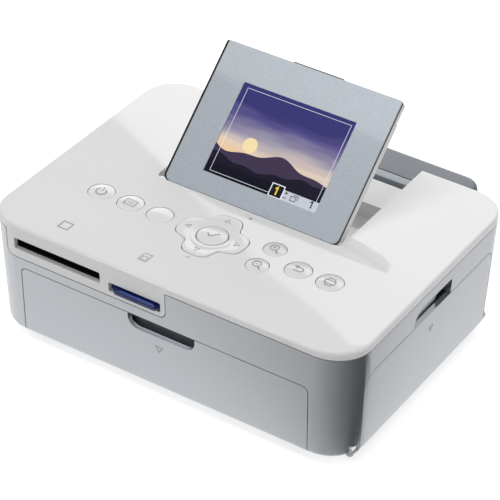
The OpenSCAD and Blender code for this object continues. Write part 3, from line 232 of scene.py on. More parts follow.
NYLON = surface("nylon", (0.74, 0.71, 0.62), 0.42, amount=0.03, bump=0.08)
SMOKY = surface("cassette_grey", (0.42, 0.45, 0.49), 0.20, amount=0.04, coat=0.3)
FILM = surface("ink_film", (0.28, 0.05, 0.12), 0.15, amount=0.15, coat=0.6, stretch=(1, 20, 1))
LATCH = surface("pale_latch", (0.62, 0.64, 0.66), 0.30, amount=0.03, bump=0.05)
TAN = surface("ribbon_tan", (0.52, 0.46, 0.34), 0.40, amount=0.05, fine=900.0, bump=0.3,
              stretch=(6, 0.1, 0.1))


def board_material():
    """Circuit board: solder mask with fine copper tracks showing through."""
    material, tree, shader = new_material("circuit_board")
    coords = tree.nodes.new("ShaderNodeTexCoord")
    bricks = tree.nodes.new("ShaderNodeTexBrick")
    bricks.inputs["Scale"].default_value = 260.0
    bricks.inputs["Mortar Size"].default_value = 0.012
    bricks.inputs["Color1"].default_value = (0.008, 0.085, 0.040, 1)
    bricks.inputs["Color2"].default_value = (0.010, 0.110, 0.050, 1)
    bricks.inputs["Mortar"].default_value = (0.030, 0.230, 0.090, 1)
    tree.links.new(coords.outputs["Object"], bricks.inputs["Vector"])
    tree.links.new(bricks.outputs["Color"], shader.inputs["Base Color"])
    shader.inputs["Roughness"].default_value = 0.28
    grain(tree, shader, object_noise(tree, 600.0), 0.1, 0.02)
    return material


def glass_material():
    """Clear window: see-through, with a faint sheen on its outer side that grows at low angles."""
    material, tree, shader = new_material("clear_window")
    tree.nodes.remove(shader)
    output = tree.nodes["Material Output"]
    clear = tree.nodes.new("ShaderNodeBsdfTransparent")
    clear.inputs["Color"].default_value = (0.96, 0.97, 1.0, 1)
    sheen = tree.nodes.new("ShaderNodeBsdfGlossy")
    sheen.inputs["Roughness"].default_value = 0.05
    fresnel = tree.nodes.new("ShaderNodeFresnel")
    fresnel.inputs["IOR"].default_value = SHEEN_IOR
    geometry = tree.nodes.new("ShaderNodeNewGeometry")
    outer_sheen = tree.nodes.new("ShaderNodeMath")
    outer_sheen.operation = "SUBTRACT"
    outer_sheen.use_clamp = True
    mix = tree.nodes.new("ShaderNodeMixShader")
    tree.links.new(fresnel.outputs["Fac"], outer_sheen.inputs[0])
    tree.links.new(geometry.outputs["Backfacing"], outer_sheen.inputs[1])
    tree.links.new(outer_sheen.outputs["Value"], mix.inputs["Fac"])
    tree.links.new(clear.outputs["BSDF"], mix.inputs[1])
    tree.links.new(sheen.outputs["BSDF"], mix.inputs[2])
    tree.links.new(mix.outputs["Shader"], output.inputs["Surface"])
    return material


BOARD = board_material()
GLASS = glass_material()

# ---------------------------------------------------------------- mesh building

SHARP_EDGE = math.radians(35.0)
TURN_STEPS = 64
CIRCLE_STEPS = 28


def finish_piece(name, vertices, faces, material, body):
    """Makes a mesh object from points in millimetres and hangs it on its body."""
    mesh = bpy.data.meshes.new(name)
    mesh.from_pydata([tuple(Vector(v) * MM) for v in vertices], [], faces)
    mesh.validate()
    mesh.update()
    mesh.materials.append(material)
    piece = bpy.data.objects.new(name, mesh)
    bpy.context.scene.collection.objects.link(piece)
    mesh.shade_smooth()
    mesh.set_sharp_from_angle(angle=SHARP_EDGE)
    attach(piece, body)
    return piece


def round_edges(piece, width, segments=3, angle=30.0):
    """Rounds the edges that are sharper than an angle, by a width in millimetres."""
    bevel = piece.modifiers.new("rounded edges", "BEVEL")
    bevel.width = width * MM
    bevel.segments = segments
    bevel.limit_method = "ANGLE"
    bevel.angle_limit = math.radians(angle)
    bevel.harden_normals = True


def smoothing_group(angle):
    """Geometry nodes that smooth every face and keep the edges sharper than an angle."""
    group = bpy.data.node_groups.new("smooth by angle", "GeometryNodeTree")
    group.interface.new_socket("Geometry", in_out="INPUT", socket_type="NodeSocketGeometry")
    group.interface.new_socket("Geometry", in_out="OUTPUT", socket_type="NodeSocketGeometry")
    source, target = group.nodes.new("NodeGroupInput"), group.nodes.new("NodeGroupOutput")
    faces = group.nodes.new("GeometryNodeSetShadeSmooth")
    edges = group.nodes.new("GeometryNodeSetShadeSmooth")
    edges.domain = "EDGE"
    edges.inputs["Shade Smooth"].default_value = False
    edge_angle = group.nodes.new("GeometryNodeInputMeshEdgeAngle")
    sharp = group.nodes.new("FunctionNodeCompare")
    sharp.operation = "GREATER_THAN"
    sharp.inputs["B"].default_value = math.radians(angle)
    group.links.new(source.outputs["Geometry"], faces.inputs["Geometry"])
    group.links.new(faces.outputs["Geometry"], edges.inputs["Geometry"])
    group.links.new(edge_angle.outputs["Unsigned Angle"], sharp.inputs["A"])
    group.links.new(sharp.outputs["Result"], edges.inputs["Selection"])
    group.links.new(edges.outputs["Geometry"], target.inputs["Geometry"])
    return group


SMOOTHING = smoothing_group(32.0)


def arc(x, y, r, start, end, steps):
    """Points on an arc between two angles in degrees."""
    angles = [math.radians(start + (end - start) * i / steps) for i in range(steps + 1)]
    return [(x + r * math.cos(a), y + r * math.sin(a)) for a in angles]


def rectangle(x0, y0, x1, y1):
    return [(x0, y0), (x1, y0), (x1, y1), (x0, y1)]


def rounded_rectangle(x0, y0, x1, y1, r, steps=8):
    """Outline, counter-clockwise from the lower left corner."""
    corners = ((x0 + r, y0 + r, 180), (x1 - r, y0 + r, 270), (x1 - r, y1 - r, 0), (x0 + r, y1 - r, 90))
    return [point for x, y, start in corners for point in arc(x, y, r, start, start + 90, steps)]


def prism(name, outline, low, high, where, material, body, edge=0.0):
    """A plate with this outline between two heights above a plane."""
    count = len(outline)
    points = [where(x, y, low) for x, y in outline] + [where(x, y, high) for x, y in outline]
    faces = [tuple(range(count - 1, -1, -1)), tuple(range(count, 2 * count))]
    faces += [(i, (i + 1) % count, count + (i + 1) % count, count + i) for i in range(count)]
    piece = finish_piece(name, points, faces, material, body)
    if edge:
        round_edges(piece, edge)
    return piece


def lathe(name, profile, x, y, material, body):
    """A turned piece about an upright axis, from (radius, height) points going up."""
    steps = TURN_STEPS
    points, faces = [], []
    for radius, z in profile:
        points += [(x + radius * math.cos(2 * math.pi * i / steps),
                    y + radius * math.sin(2 * math.pi * i / steps), z) for i in range(steps)]
    for ring in range(len(profile) - 1):
        a, b = ring * steps, (ring + 1) * steps
        faces += [(a + i, a + (i + 1) % steps, b + (i + 1) % steps, b + i) for i in range(steps)]
    faces.append(tuple(range(steps - 1, -1, -1)))
    faces.append(tuple(range((len(profile) - 1) * steps, len(profile) * steps)))
    return finish_piece(name, points, faces, material, body)


class Marks:
    """Flat printed shapes gathered into one mesh that lies just above a surface."""

    def __init__(self, where, rise=0.02):
        self.where, self.rise, self.points, self.faces = where, rise, [], []

    def polygon(self, outline):
        """A flat shape with its sides, so that it is closed."""
        start = len(self.points)
        count = len(outline)
        self.points += [self.where(x, y, 0) for x, y in outline]
        self.points += [self.where(x, y, self.rise) for x, y in outline]
        self.faces.append(tuple(start + count + i for i in range(count)))
        self.faces.append(tuple(start + count - 1 - i for i in range(count)))
        for i in range(count):
            k = (i + 1) % count
            self.faces.append((start + i, start + k, start + count + k, start + count + i))

    def stroke(self, line, width, closed=False):
        """A line of even width with mitred corners, one flat bar for each stretch."""
        count = len(line)
        ends = count if closed else count - 1
        for i in range(ends):
            a, b = Vector(line[i]), Vector(line[(i + 1) % count])
            before = Vector(line[i - 1]) if closed or i > 0 else None
            after = Vector(line[(i + 2) % count]) if closed or i + 2 < count else None
            side_a = self.mitre(before, a, b, width)
            side_b = self.mitre(a, b, after, width)
            self.polygon([a - side_a, b - side_b, b + side_b, a + side_a])

    @staticmethod
    def mitre(before, point, after, width):
        """Half the line's width across it at a point, drawn out where two stretches meet."""
        normals = []
        for p, q in ((before, point), (point, after)):
            if p is not None and q is not None and (q - p).length > 1e-6:
                d = (q - p).normalized()
                normals.append(Vector((-d.y, d.x)))
        n = sum(normals, Vector((0, 0)))
        n.normalize()
        return n * (width / 2) / max(n.dot(normals[0]), 0.5)

    def circle(self, x, y, r, width, start=0.0, end=360.0):
        closed = end - start == 360.0
        line = arc(x, y, r, start, end, CIRCLE_STEPS)
        self.stroke(line[:-1] if closed else line, width, closed)

    def build(self, name, material, body):
        return finish_piece(name, self.points, self.faces, material, body)


# ---------------------------------------------------------------- CAD nodes that keep their own shape

FINISHES = {
    "bottom_case": SATIN, "top_cover": WHITE, "front_cover": SATIN, "side_cover": SATIN,
    "bay_floor": WHITE, "exit_guide": STRIP, "rear_housing": GREY, "feet": RUBBER,
    "lcd_face_plate": PLATE, "lcd_frame": BLACK, "lcd_back_shell": SHELL, "lcd_module": BLACK,
    "lcd_window": GLASS, "lcd_hinge_pins": STEEL, "pad_carrier": NYLON, "key_board": BOARD,
    "main_board": BOARD, "card_reader": BLACK, "chassis_frame": STEEL, "gear_plate": STEEL,
    "paper_bay": SHELL, "pickup_roller": RUBBER, "platen_roller": RUBBER, "grip_roller": STEEL,
    "pinch_roller": RUBBER, "thermal_head": ALUMINIUM, "head_arm": STEEL, "feed_motor": MOTOR,
    "feed_pinion": NYLON, "idler_gear": NYLON, "ribbon_motor": MOTOR, "ribbon_pinion": NYLON,
    "takeup_gear": NYLON, "cassette_case": SMOKY, "supply_spool": NYLON, "takeup_spool": NYLON,
    "ink_ribbon": FILM, "cassette_lever": LATCH, "fan_frame": BLACK, "fan_rotor": BLACK,
    "dc_inlet": BLACK, "usb_port": STEEL, "ribbon_cable": TAN, "case_screws": STEEL,
}

# Edge rounding in millimetres, for the nodes whose edges show
SOFT_EDGES = {
    "bottom_case": 0.35, "top_cover": 0.3, "front_cover": 0.45, "side_cover": 0.45, "bay_floor": 0.2,
    "exit_guide": 0.25, "rear_housing": 0.6, "lcd_face_plate": 0.15, "lcd_frame": 0.25,
    "lcd_back_shell": 0.4, "paper_bay": 0.3, "cassette_lever": 0.3, "feet": 0.4, "fan_frame": 0.3,
    "cassette_case": 0.3,
}
WELD_DISTANCE = 0.0005

for node, material in FINISHES.items():
    piece = nodes[node]
    if not piece.material_slots:
        piece.data.materials.append(material)
    for material_slot in piece.material_slots:
        material_slot.material = material
    if node in SOFT_EDGES:
        weld = piece.modifiers.new("weld", "WELD")
        weld.merge_threshold = WELD_DISTANCE * MM
        piece.modifiers.new("smooth by angle", "NODES").node_group = SMOOTHING
        round_edges(piece, SOFT_EDGES[node], segments=2, angle=40.0)
        flat = piece.modifiers.new("flat faces stay flat", "WEIGHTED_NORMAL")
        flat.mode = "FACE_AREA"
        flat.weight = 100
        flat.keep_sharp = True

# ---------------------------------------------------------------- keys and the direction pad

KEYS = [("power_button", "power_key"), ("menu_button", "menu_key"), ("edit_button", "edit_key"),
        ("ok_button", "ok_key"), ("zoom_in_button", "zoom_in_key"), ("zoom_out_button", "zoom_out_key"),
        ("back_button", "back_key"), ("print_button", "print_key")]
KEY_RADIUS = {"ok_button": 6.55, "zoom_in_button": 4.95, "zoom_out_button": 4.95}
OTHER_KEY_RADIUS = 5.85
DOME = 0.45
FLANGE_T = 0.8
STEM_BORE_R = 1.2
DOME_STEPS = 10


def key_cap(node, body):
    """A domed cap with a rounded rim over the flange and stem of its CAD node."""
    low, high = corners_mm(node)
    middle = centre(node)
    radius = KEY_RADIUS.get(node, OTHER_KEY_RADIUS)
    flange = (high.x - low.x) / 2
    rim = high.z - DOME
    dome_radius, dome_low = radius - 0.55, rim + 0.06
    profile = [(STEM_BORE_R, low.z), (flange, low.z), (flange, low.z + FLANGE_T),
               (radius, low.z + FLANGE_T + 0.2), (radius, rim - 0.45), (radius - 0.08, rim - 0.2),
               (radius - 0.28, rim - 0.02), (dome_radius, dome_low)]
    for i in range(1, DOME_STEPS + 1):
        share = 1 - i / (DOME_STEPS + 0.5)
        profile.append((dome_radius * share, dome_low + (high.z - dome_low) * (1 - share ** 2)))
    cap = lathe(node + "_cap", profile, middle.x, middle.y, WHITE, body)
    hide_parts(node)


for node, body in KEYS:
    key_cap(node, body)

# The opening's half width to the end of a lobe, and the gap that the pad keeps from it
PAD_HALF = 16.2
PAD_INSET = 0.4
PAD_HOLE_R = 7.0
PAD_STEPS = 128


def pad_radius(angle, shrink):
    """Distance of the four-lobed outline from its middle, taken in by a shrink."""
    lobes = 0.915 + 0.130 * math.cos(4 * angle) - 0.045 * math.cos(8 * angle)
    return PAD_HALF * lobes - PAD_INSET - shrink


def direction_pad():
    """Four-lobed rocker: rounded outer edge, shallow dish, raised ring round the middle key."""
    low, high = corners_mm("direction_pad")
    middle = centre("direction_pad")
    top = high.z
    angles = [2 * math.pi * i / PAD_STEPS for i in range(PAD_STEPS)]
    outer = [(0.0, low.z), (0.0, top - 0.30), (0.08, top - 0.12), (0.25, top - 0.02), (0.45, top)]
    inner = [(9.6, top - 0.03), (9.2, top - 0.18), (8.2, top - 0.30), (7.5, top - 0.30),
             (7.15, top - 0.38), (PAD_HOLE_R, top - 0.6), (PAD_HOLE_R, low.z)]
    rings = [([pad_radius(a, shrink) for a in angles], z) for shrink, z in outer]
    rings += [([radius] * PAD_STEPS, z) for radius, z in inner]
    points, faces = [], []
    for radii, z in rings:
        points += [(middle.x + r * math.cos(a), middle.y + r * math.sin(a), z)
                   for r, a in zip(radii, angles)]
    for ring in range(len(rings)):
        a, b = ring * PAD_STEPS, (ring + 1) % len(rings) * PAD_STEPS
        faces += [(a + i, a + (i + 1) % PAD_STEPS, b + (i + 1) % PAD_STEPS, b + i)
                  for i in range(PAD_STEPS)]
    pad = finish_piece("direction_pad_top", points, faces, WHITE, "pad")
    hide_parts("direction_pad")
    arrows = Marks(raised(level(top), middle.x, middle.y), 0.12)
    for quarter in range(4):
        turn = Matrix.Rotation(math.radians(90 * quarter), 2)
        arrows.stroke([turn @ Vector(p) for p in ((11.1, -1.2), (13.2, 0.0), (11.1, 1.2))], 0.22, True)
    arrows.build("direction_pad_arrows", FAINT, "pad")


direction_pad()

# ---------------------------------------------------------------- memory card


def memory_card():
    """Card with a moulded rim, a clipped corner and a ridge across its outer end."""
    low, high = corners_mm("memory_card")
    clip = 4.0
    inset, base_t, top_t = 0.7, 0.7, 0.5
    chamfer, ridge_chamfer = 0.15, 0.08
    flat = level(0)
    rim = [(low.x, low.y + clip), (low.x + clip, low.y), (high.x, low.y), (high.x, high.y),
           (low.x, high.y)]
    core = prism("memory_card_body", rim, low.z + base_t, high.z - top_t, flat, CARD, "card",
                 chamfer)
    face = [(low.x + inset, low.y + clip + 0.3), (low.x + clip + 0.3, low.y + inset),
            (high.x - inset, low.y + inset), (high.x - inset, high.y - inset),
            (low.x + inset, high.y - inset)]
    prism("memory_card_top", face, high.z - top_t, high.z, flat, CARD, "card", chamfer)
    prism("memory_card_base", face, low.z, low.z + base_t, flat, CARD, "card", chamfer)
    ridge = rounded_rectangle(low.x + clip + 1.5, low.y + 1.2, high.x - 1.5, low.y + 1.9, 0.3)
    # The ridge's lighter blue is a painted highlight
    prism("memory_card_ridge", ridge, high.z - 0.02, high.z + 0.25, flat, CARD_RIDGE_HIGHLIGHT, "card",
          ridge_chamfer)
    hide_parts("memory_card")


memory_card()

# ---------------------------------------------------------------- printed marks on the top, keys and doors

MARK_SCALE = 1.2
MARK_LIFT = 0.02


def key_place(node):
    """The plane just over a key's top, about its middle, in the marks' own scale."""
    middle = centre(node)
    top = level(corners_mm(node)[1].z + MARK_LIFT)
    return lambda x, y, z=0.0: top(middle.x + MARK_SCALE * x, middle.y + MARK_SCALE * y, z)


def power_mark():
    mark = Marks(key_place("power_button"))
    mark.circle(0, -0.2, 1.9, 0.45, 125, 415)
    mark.stroke([(0, 0.1), (0, 2.4)], 0.45)
    mark.build("power_mark", MARK, "power_key")


def menu_mark():
    mark = Marks(key_place("menu_button"))
    mark.stroke(rectangle(-2.2, -1.6, 2.2, 1.6), 0.3, True)
    mark.stroke([(-1.2, 0.5), (1.2, 0.5)], 0.25)
    mark.stroke([(-1.2, -0.3), (1.2, -0.3)], 0.25)
    mark.build("menu_mark", MARK, "menu_key")


def ok_mark():
    mark = Marks(key_place("ok_button"))
    mark.stroke([(-2.0, 0.2), (-0.5, -1.4), (2.1, 1.6)], 0.45)
    mark.build("ok_mark", MARK, "ok_key")


def magnifier_mark(node, body, plus):
    """A magnifying glass with a plus or a minus in it."""
    mark = Marks(key_place(node))
    mark.circle(-0.4, 0.4, 1.5, 0.35)
    mark.stroke([(0.7, -0.7), (1.9, -1.9)], 0.5)
    mark.stroke([(-1.1, 0.4), (0.3, 0.4)], 0.3)
    if plus:
        mark.stroke([(-0.4, -0.3), (-0.4, 1.1)], 0.3)
    mark.build(body + "_mark", MARK, body)


def back_mark():
    mark = Marks(key_place("back_button"))
    line = [(-0.6, 1.2), (0.7, 1.2)] + arc(0.7, 0.1, 1.1, 80, -80, 8) + [(-1.6, -1.0)]
    mark.stroke(line, 0.4)
    mark.polygon([(-0.6, 0.3), (-0.6, 2.1), (-2.1, 1.2)])
    mark.build("back_mark", MARK, "back_key")


def print_mark():
    mark = Marks(key_place("print_button"))
    mark.stroke(rectangle(-1.9, -0.9, 1.9, 0.9), 0.35, True)
    mark.stroke([(-1.1, 0.9), (-1.1, 2.0), (1.1, 2.0), (1.1, 0.9)], 0.3)
    mark.stroke([(-1.1, -0.9), (-1.1, -2.0), (1.1, -2.0), (1.1, -0.9)], 0.3)
    mark.build("print_mark", MARK, "print_key")


# Middles of the marks on the top face
WIDE_CARD_PICTURE = (-54.9, -63.1)
SMALL_CARD_PICTURE = (-15.3, -62.7)
PLUS_SIGN = (4.8, -14.6)
MINUS_SIGN = (-1.4, -52.5)
SIGN_HALF = 0.9


def top_marks():
    """Card pictures over the two slots, and the plus and minus beside the pad."""
    marks = Marks(on_top)
    x, y = WIDE_CARD_PICTURE
    marks.stroke(rectangle(x - 2.3, y - 2.3, x + 2.3, y + 2.3), 0.7, True)
    x, y = SMALL_CARD_PICTURE
    marks.stroke([(x - 1.9, y - 2.5), (x + 1.9, y - 2.5), (x + 1.9, y + 2.5), (x - 1.0, y + 2.5),
                  (x - 1.9, y + 1.6)], 0.5, True)
    marks.stroke(rectangle(x - 1.1, y - 1.7, x + 1.1, y + 0.6), 0.35, True)
    for x, y in (PLUS_SIGN, MINUS_SIGN):
        marks.stroke([(x - SIGN_HALF, y), (x + SIGN_HALF, y)], 0.5)
    x, y = PLUS_SIGN
    marks.stroke([(x, y - SIGN_HALF), (x, y + SIGN_HALF)], 0.5)
    marks.build("top_marks", MARK, "case")


def open_mark(name, where, body):
    """A triangle that shows which way a door pulls."""
    mark = Marks(where)
    mark.stroke([(-1.7, 1.4), (1.7, 1.4), (0, -1.4)], 0.45, True)
    mark.build(name, MARK, body)


power_mark()
menu_mark()
ok_mark()
magnifier_mark("zoom_in_button", "zoom_in_key", True)
magnifier_mark("zoom_out_button", "zoom_out_key", False)
back_mark()
print_mark()
top_marks()
# Each is lifted off its door's own face, which stands a little proud of the leaning plane
open_mark("front_open_mark", raised(on_front, -1.3, 25.6, 0.085), "front_door")
open_mark("side_open_mark", raised(on_side, -6.3, 34.6, 0.055), "side_door")

# ---------------------------------------------------------------- the display's picture

# Heights over the panel's plane: the picture's layers of ink, then the window
PICTURE_LOW = 1.21
SKY_T, LAYER_T = 0.05, 0.03
OVERLAY = PICTURE_LOW + 0.18
BAR_LOW, BAR_HIGH = OVERLAY + 0.02, OVERLAY + 0.05
WINDOW_LOW, WINDOW_HIGH = 1.6, 1.95
WINDOW_GAP = 0.05

# From the hills up: where on the ramp each colour of the dusk stands
DUSK = ((0.38, (0.98, 0.58, 0.24)), (0.53, (0.82, 0.66, 0.50)), (0.68, (0.40, 0.36, 0.42)),
        (0.86, (0.12, 0.10, 0.27)), (1.0, (0.045, 0.04, 0.17)))
CLOUD_DRIFT = 0.38


def sky_material():
    """Dusk sky: a colour ramp up the panel, broken by thin streaks of cloud."""
    material, tree, shader = new_material("display_sky")
    coords = tree.nodes.new("ShaderNodeTexCoord")
    up = tree.nodes.new("ShaderNodeVectorMath")
    up.operation = "DOT_PRODUCT"
    up.inputs[1].default_value = (0, math.cos(TILT), math.sin(TILT))
    tree.links.new(coords.outputs["Object"], up.inputs[0])
    start = (HINGE.y * math.cos(TILT) + HINGE.z * math.sin(TILT)) * MM
    spread = tree.nodes.new("ShaderNodeMapRange")
    spread.inputs["From Min"].default_value = start + WINDOW_Y0 * MM
    spread.inputs["From Max"].default_value = start + WINDOW_Y1 * MM
    tree.links.new(up.outputs["Value"], spread.inputs["Value"])
    streaks = object_noise(tree, 75.0, 5.0, (0.35, 2.2, 2.2))
    drift = tree.nodes.new("ShaderNodeMath")
    drift.operation = "MULTIPLY_ADD"
    drift.inputs[1].default_value = CLOUD_DRIFT
    tree.links.new(streaks, drift.inputs[0])
    tree.links.new(spread.outputs["Result"], drift.inputs[2])
    ramp = tree.nodes.new("ShaderNodeValToRGB")
    while len(ramp.color_ramp.elements) < len(DUSK):
        ramp.color_ramp.elements.new(0.5)
    for element, (position, colour) in zip(ramp.color_ramp.elements, DUSK):
        element.position = position
        element.color = (*colour, 1)
    tree.links.new(drift.outputs["Value"], ramp.inputs["Fac"])
    shader.inputs["Base Color"].default_value = UNLIT_INK
    shader.inputs["Roughness"].default_value = 0.5
    shader.inputs["Specular IOR Level"].default_value = 0.0
    tree.links.new(ramp.outputs["Color"], shader.inputs["Emission Color"])
    shader.inputs["Emission Strength"].default_value = 1.0
    return material


def hills(base, height, waves):
    """Outline of a range of hills: a flat foot, and a crest made of (rise, length, shift) waves."""
    steps = 60
    crest = []
    for i in range(steps + 1):
        x = WINDOW_X1 + (WINDOW_X0 - WINDOW_X1) * i / steps
        crest.append((x, height + sum(rise * math.sin(x / length + shift)
                                      for rise, length, shift in waves)))
    return [(WINDOW_X0, base), (WINDOW_X1, base)] + crest


def picture_layers():
    """Sky, sun, two ranges of hills and water, each a thin layer over the last."""
    x0, x1, y0, y1 = WINDOW_X0, WINDOW_X1, WINDOW_Y0, WINDOW_Y1
    prism("picture_sky", rectangle(x0, y0, x1, y1), PICTURE_LOW, PICTURE_LOW + SKY_T, on_panel,
          sky_material(), "display")
    layers = [
        ("picture_sun", arc(-12.0, 26.5, 3.4, 0, 354, 59), glow("sun_ink", (1.0, 0.80, 0.42))),
        ("picture_far_hills", hills(y0, 23.5, [(2.2, 7.0, 1.0), (0.8, 2.9, 0.0)]),
         glow("far_ink", (0.055, 0.038, 0.075))),
        ("picture_near_hills", hills(y0, 18.5, [(1.7, 9.0, -0.8), (0.5, 2.1, 0.0)]),
         glow("near_ink", (0.012, 0.010, 0.020))),
        ("picture_water", rectangle(x0, y0, x1, 14.8), glow("water_ink", (0.006, 0.006, 0.012))),
    ]
    for order, (name, outline, ink) in enumerate(layers):
        low = PICTURE_LOW + SKY_T + LAYER_T * order
        prism(name, outline, low, low + LAYER_T, on_panel, ink, "display")


def picture_overlay():
    """The frame line over the picture and the bar of plain signs below it."""
    white = glow("white_ink", (0.92, 0.93, 0.95))
    black = glow("black_ink", (0.01, 0.01, 0.012))
    yellow = glow("yellow_ink", (0.95, 0.75, 0.05))
    grey = glow("grey_ink", (0.62, 0.64, 0.66))
    lines = Marks(raised(on_panel, 0, 0, OVERLAY))
    lines.stroke(rectangle(-24.4, 10.7, 26.8, 49.6), 0.18, True)
    lines.build("picture_frame_line", white, "display")
    foot = WINDOW_Y0
    box_x0, box_x1, box_y1, bar_y1 = 5.0, 11.2, 15.2, 14.0
    rim_width = 0.4
    prism("picture_bar", rectangle(box_x1, foot, WINDOW_X1, bar_y1), BAR_LOW, BAR_HIGH, on_panel,
          grey, "display")
    prism("picture_box", rectangle(box_x0, foot, box_x1, box_y1), BAR_LOW, BAR_HIGH, on_panel,
          black, "display")
    on_bar = raised(on_panel, 0, 0, BAR_HIGH)
    rim = Marks(on_bar)
    rim.stroke(rectangle(box_x0 + rim_width / 2, foot + rim_width / 2, box_x1, box_y1), rim_width, True)
    rim.build("picture_box_rim", white, "display")
    digits = Marks(on_bar)
    digits.stroke([(7.4, 13.2), (8.3, 14.0), (8.3, 10.6)], 0.7)
    digits.build("picture_count", yellow, "display")
    signs = Marks(on_bar)
    signs.stroke([(12.0, 13.0), (13.6, 13.0)], 0.35)
    signs.stroke([(12.8, 12.2), (12.8, 13.8)], 0.35)
    signs.stroke([(12.0, 10.9), (13.6, 10.9)], 0.35)
    signs.stroke(rectangle(15.4, 10.7, 17.8, 12.6), 0.3, True)
    signs.stroke([(16.2, 13.3), (18.6, 13.3), (18.6, 11.4)], 0.3)
    signs.stroke([(24.6, 12.9), (25.5, 13.6), (25.5, 10.6)], 0.6)
    signs.build("picture_signs", black, "display")


def display_glass():
    """The window, a little smaller than its opening."""
    outline = rounded_rectangle(WINDOW_X0 + WINDOW_GAP, WINDOW_Y0 + WINDOW_GAP,
                                WINDOW_X1 - WINDOW_GAP, WINDOW_Y1 - WINDOW_GAP, 0.2, 2)
    glass = prism("display_glass", outline, WINDOW_LOW, WINDOW_HIGH, on_panel, GLASS, "display")
    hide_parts("lcd_window")


picture_layers()
picture_overlay()
display_glass()

# ---------------------------------------------------------------- camera

# Worked out from the outline of the body
CAMERA = Vector((423.7, -709.0, 621.3))
CAMERA_AIM = Vector((85.69, -148.26, 155.64))
CAMERA_ROLL = math.radians(2.51)
LENS, SENSOR = 170.45, 36.0


def add_camera():
    back = (CAMERA - CAMERA_AIM).normalized()
    right = Vector((0, 0, 1)).cross(back).normalized()
    up = back.cross(right)
    tilted_right = right * math.cos(CAMERA_ROLL) + up * math.sin(CAMERA_ROLL)
    tilted_up = up * math.cos(CAMERA_ROLL) - right * math.sin(CAMERA_ROLL)
    camera_data = bpy.data.cameras.new("camera")
    camera_data.lens = LENS
    camera_data.sensor_width = SENSOR
    camera_data.clip_start, camera_data.clip_end = 0.05, 20.0
    camera = bpy.data.objects.new("camera", camera_data)
    turn = Matrix((tilted_right, tilted_up, back)).transposed().to_4x4()
    camera.matrix_world = Matrix.Translation(CAMERA * MM) @ turn
    bpy.context.scene.collection.objects.link(camera)
    bpy.context.scene.camera = camera


add_camera()

# ---------------------------------------------------------------- light, floor and world

# How far from the object's middle the mirrored boxes stand
BOX_DISTANCE = 1.5


def area_light(name, place_m, facing, along, width, height, power):
    """A rectangular softbox that faces a direction, with its width along another."""
    data = bpy.data.lights.new(name, "AREA")
    data.shape = "RECTANGLE"
    data.size, data.size_y = width, height
    data.energy = power
    lamp = bpy.data.objects.new(name, data)
    back = -Vector(facing).normalized()
    across = Vector(along) - Vector(along).dot(back) * back
    across.normalize()
    turn = Matrix((across, back.cross(across), back)).transposed().to_4x4()
    lamp.matrix_world = Matrix.Translation(Vector(place_m)) @ turn
    bpy.context.scene.collection.objects.link(lamp)


def mirrored_axes(direction, right):
    """The direction that a flat face mirrors to the camera, with right and up across it."""
    mirror, right = Vector(direction).normalized(), Vector(right)
    return mirror, right, mirror.cross(right)


def top_lights():
    """The rear box is mirrored in the top face, where its straight edge crosses from left to right."""
    mirror, right, up = mirrored_axes((-0.421, 0.698, 0.58), (-0.8563, -0.5165, 0.0))
    edge_cos, edge_sin = 0.728, 0.686
    edge = right * -edge_cos + up * edge_sin
    outward = right * edge_sin + up * edge_cos
    width, depth = 2.2, 0.9
    middle = mirror * BOX_DISTANCE + up * 0.078 - outward * depth / 2
    area_light("rear_softbox", middle, -mirror, edge, width, depth, 10.0)
    area_light("overhead_softbox", (-0.2, -0.1, 1.4), (0.14, 0.07, -1), (1, 0, 0), 0.8, 0.8, 2.9)


def front_lights():
    """The front box is mirrored in the upper part of the display's silver plate."""
    mirror, right, up = mirrored_axes((-0.421, -0.517, 0.745), (0.775, -0.631, 0.0))
    slope = 0.587
    edge = (right + up * slope).normalized()
    outward = (up - right * slope).normalized()
    middle = mirror * BOX_DISTANCE + up * 0.1965 + outward * 0.3 + edge * 0.2
    area_light("front_softbox", middle, -mirror, edge, 0.8, 0.6, 2.9)
    # The panel lamp stands below and right of what the plate mirrors, and brightens its right side
    below_right = mirror * BOX_DISTANCE + right * 0.3 - up * 0.5
    area_light("panel_softbox", below_right, -mirror, right, 0.5, 0.5, 3.8)
    area_light("right_softbox", (0.9, 0.35, 0.45), (-0.9, -0.35, -0.4), (0, 1, 0), 0.6, 0.5, 1.6)


top_lights()
front_lights()


def seen_directly(tree):
    """1 where the camera, a mirror or the glass sees it, 0 for the light that falls on the object.

    The second output is 1 for mirrors alone.
    """
    path = tree.nodes.new("ShaderNodeLightPath")
    seen = path.outputs["Is Camera Ray"]
    for ray in ("Is Glossy Ray", "Is Transmission Ray"):
        either = tree.nodes.new("ShaderNodeMath")
        either.operation = "MAXIMUM"
        tree.links.new(seen, either.inputs[0])
        tree.links.new(path.outputs[ray], either.inputs[1])
        seen = either.outputs["Value"]
    return seen, path.outputs["Is Glossy Ray"]


def pick(tree, seen, unseen_value, seen_value):
    """One value for what is seen directly and another for the light that falls on the object."""
    spread = tree.nodes.new("ShaderNodeMapRange")
    spread.inputs["To Min"].default_value = unseen_value
    spread.inputs["To Max"].default_value = seen_value
    tree.links.new(seen, spread.inputs["Value"])
    return spread.outputs["Result"]


WORLD_FILL, WORLD_SEEN = 0.36, 1.0
FLOOR_GLOW = 0.62
FLOOR_HALF = 6.0


def white_world():
    """White all round to the eye, with a weaker fill on the object."""
    world = bpy.data.worlds.new("studio")
    world.use_nodes = True
    tree = world.node_tree
    background = tree.nodes["Background"]
    background.inputs["Color"].default_value = (1, 1, 1, 1)
    seen, _ = seen_directly(tree)
    tree.links.new(pick(tree, seen, WORLD_FILL, WORLD_SEEN), background.inputs["Strength"])
    bpy.context.scene.world = world
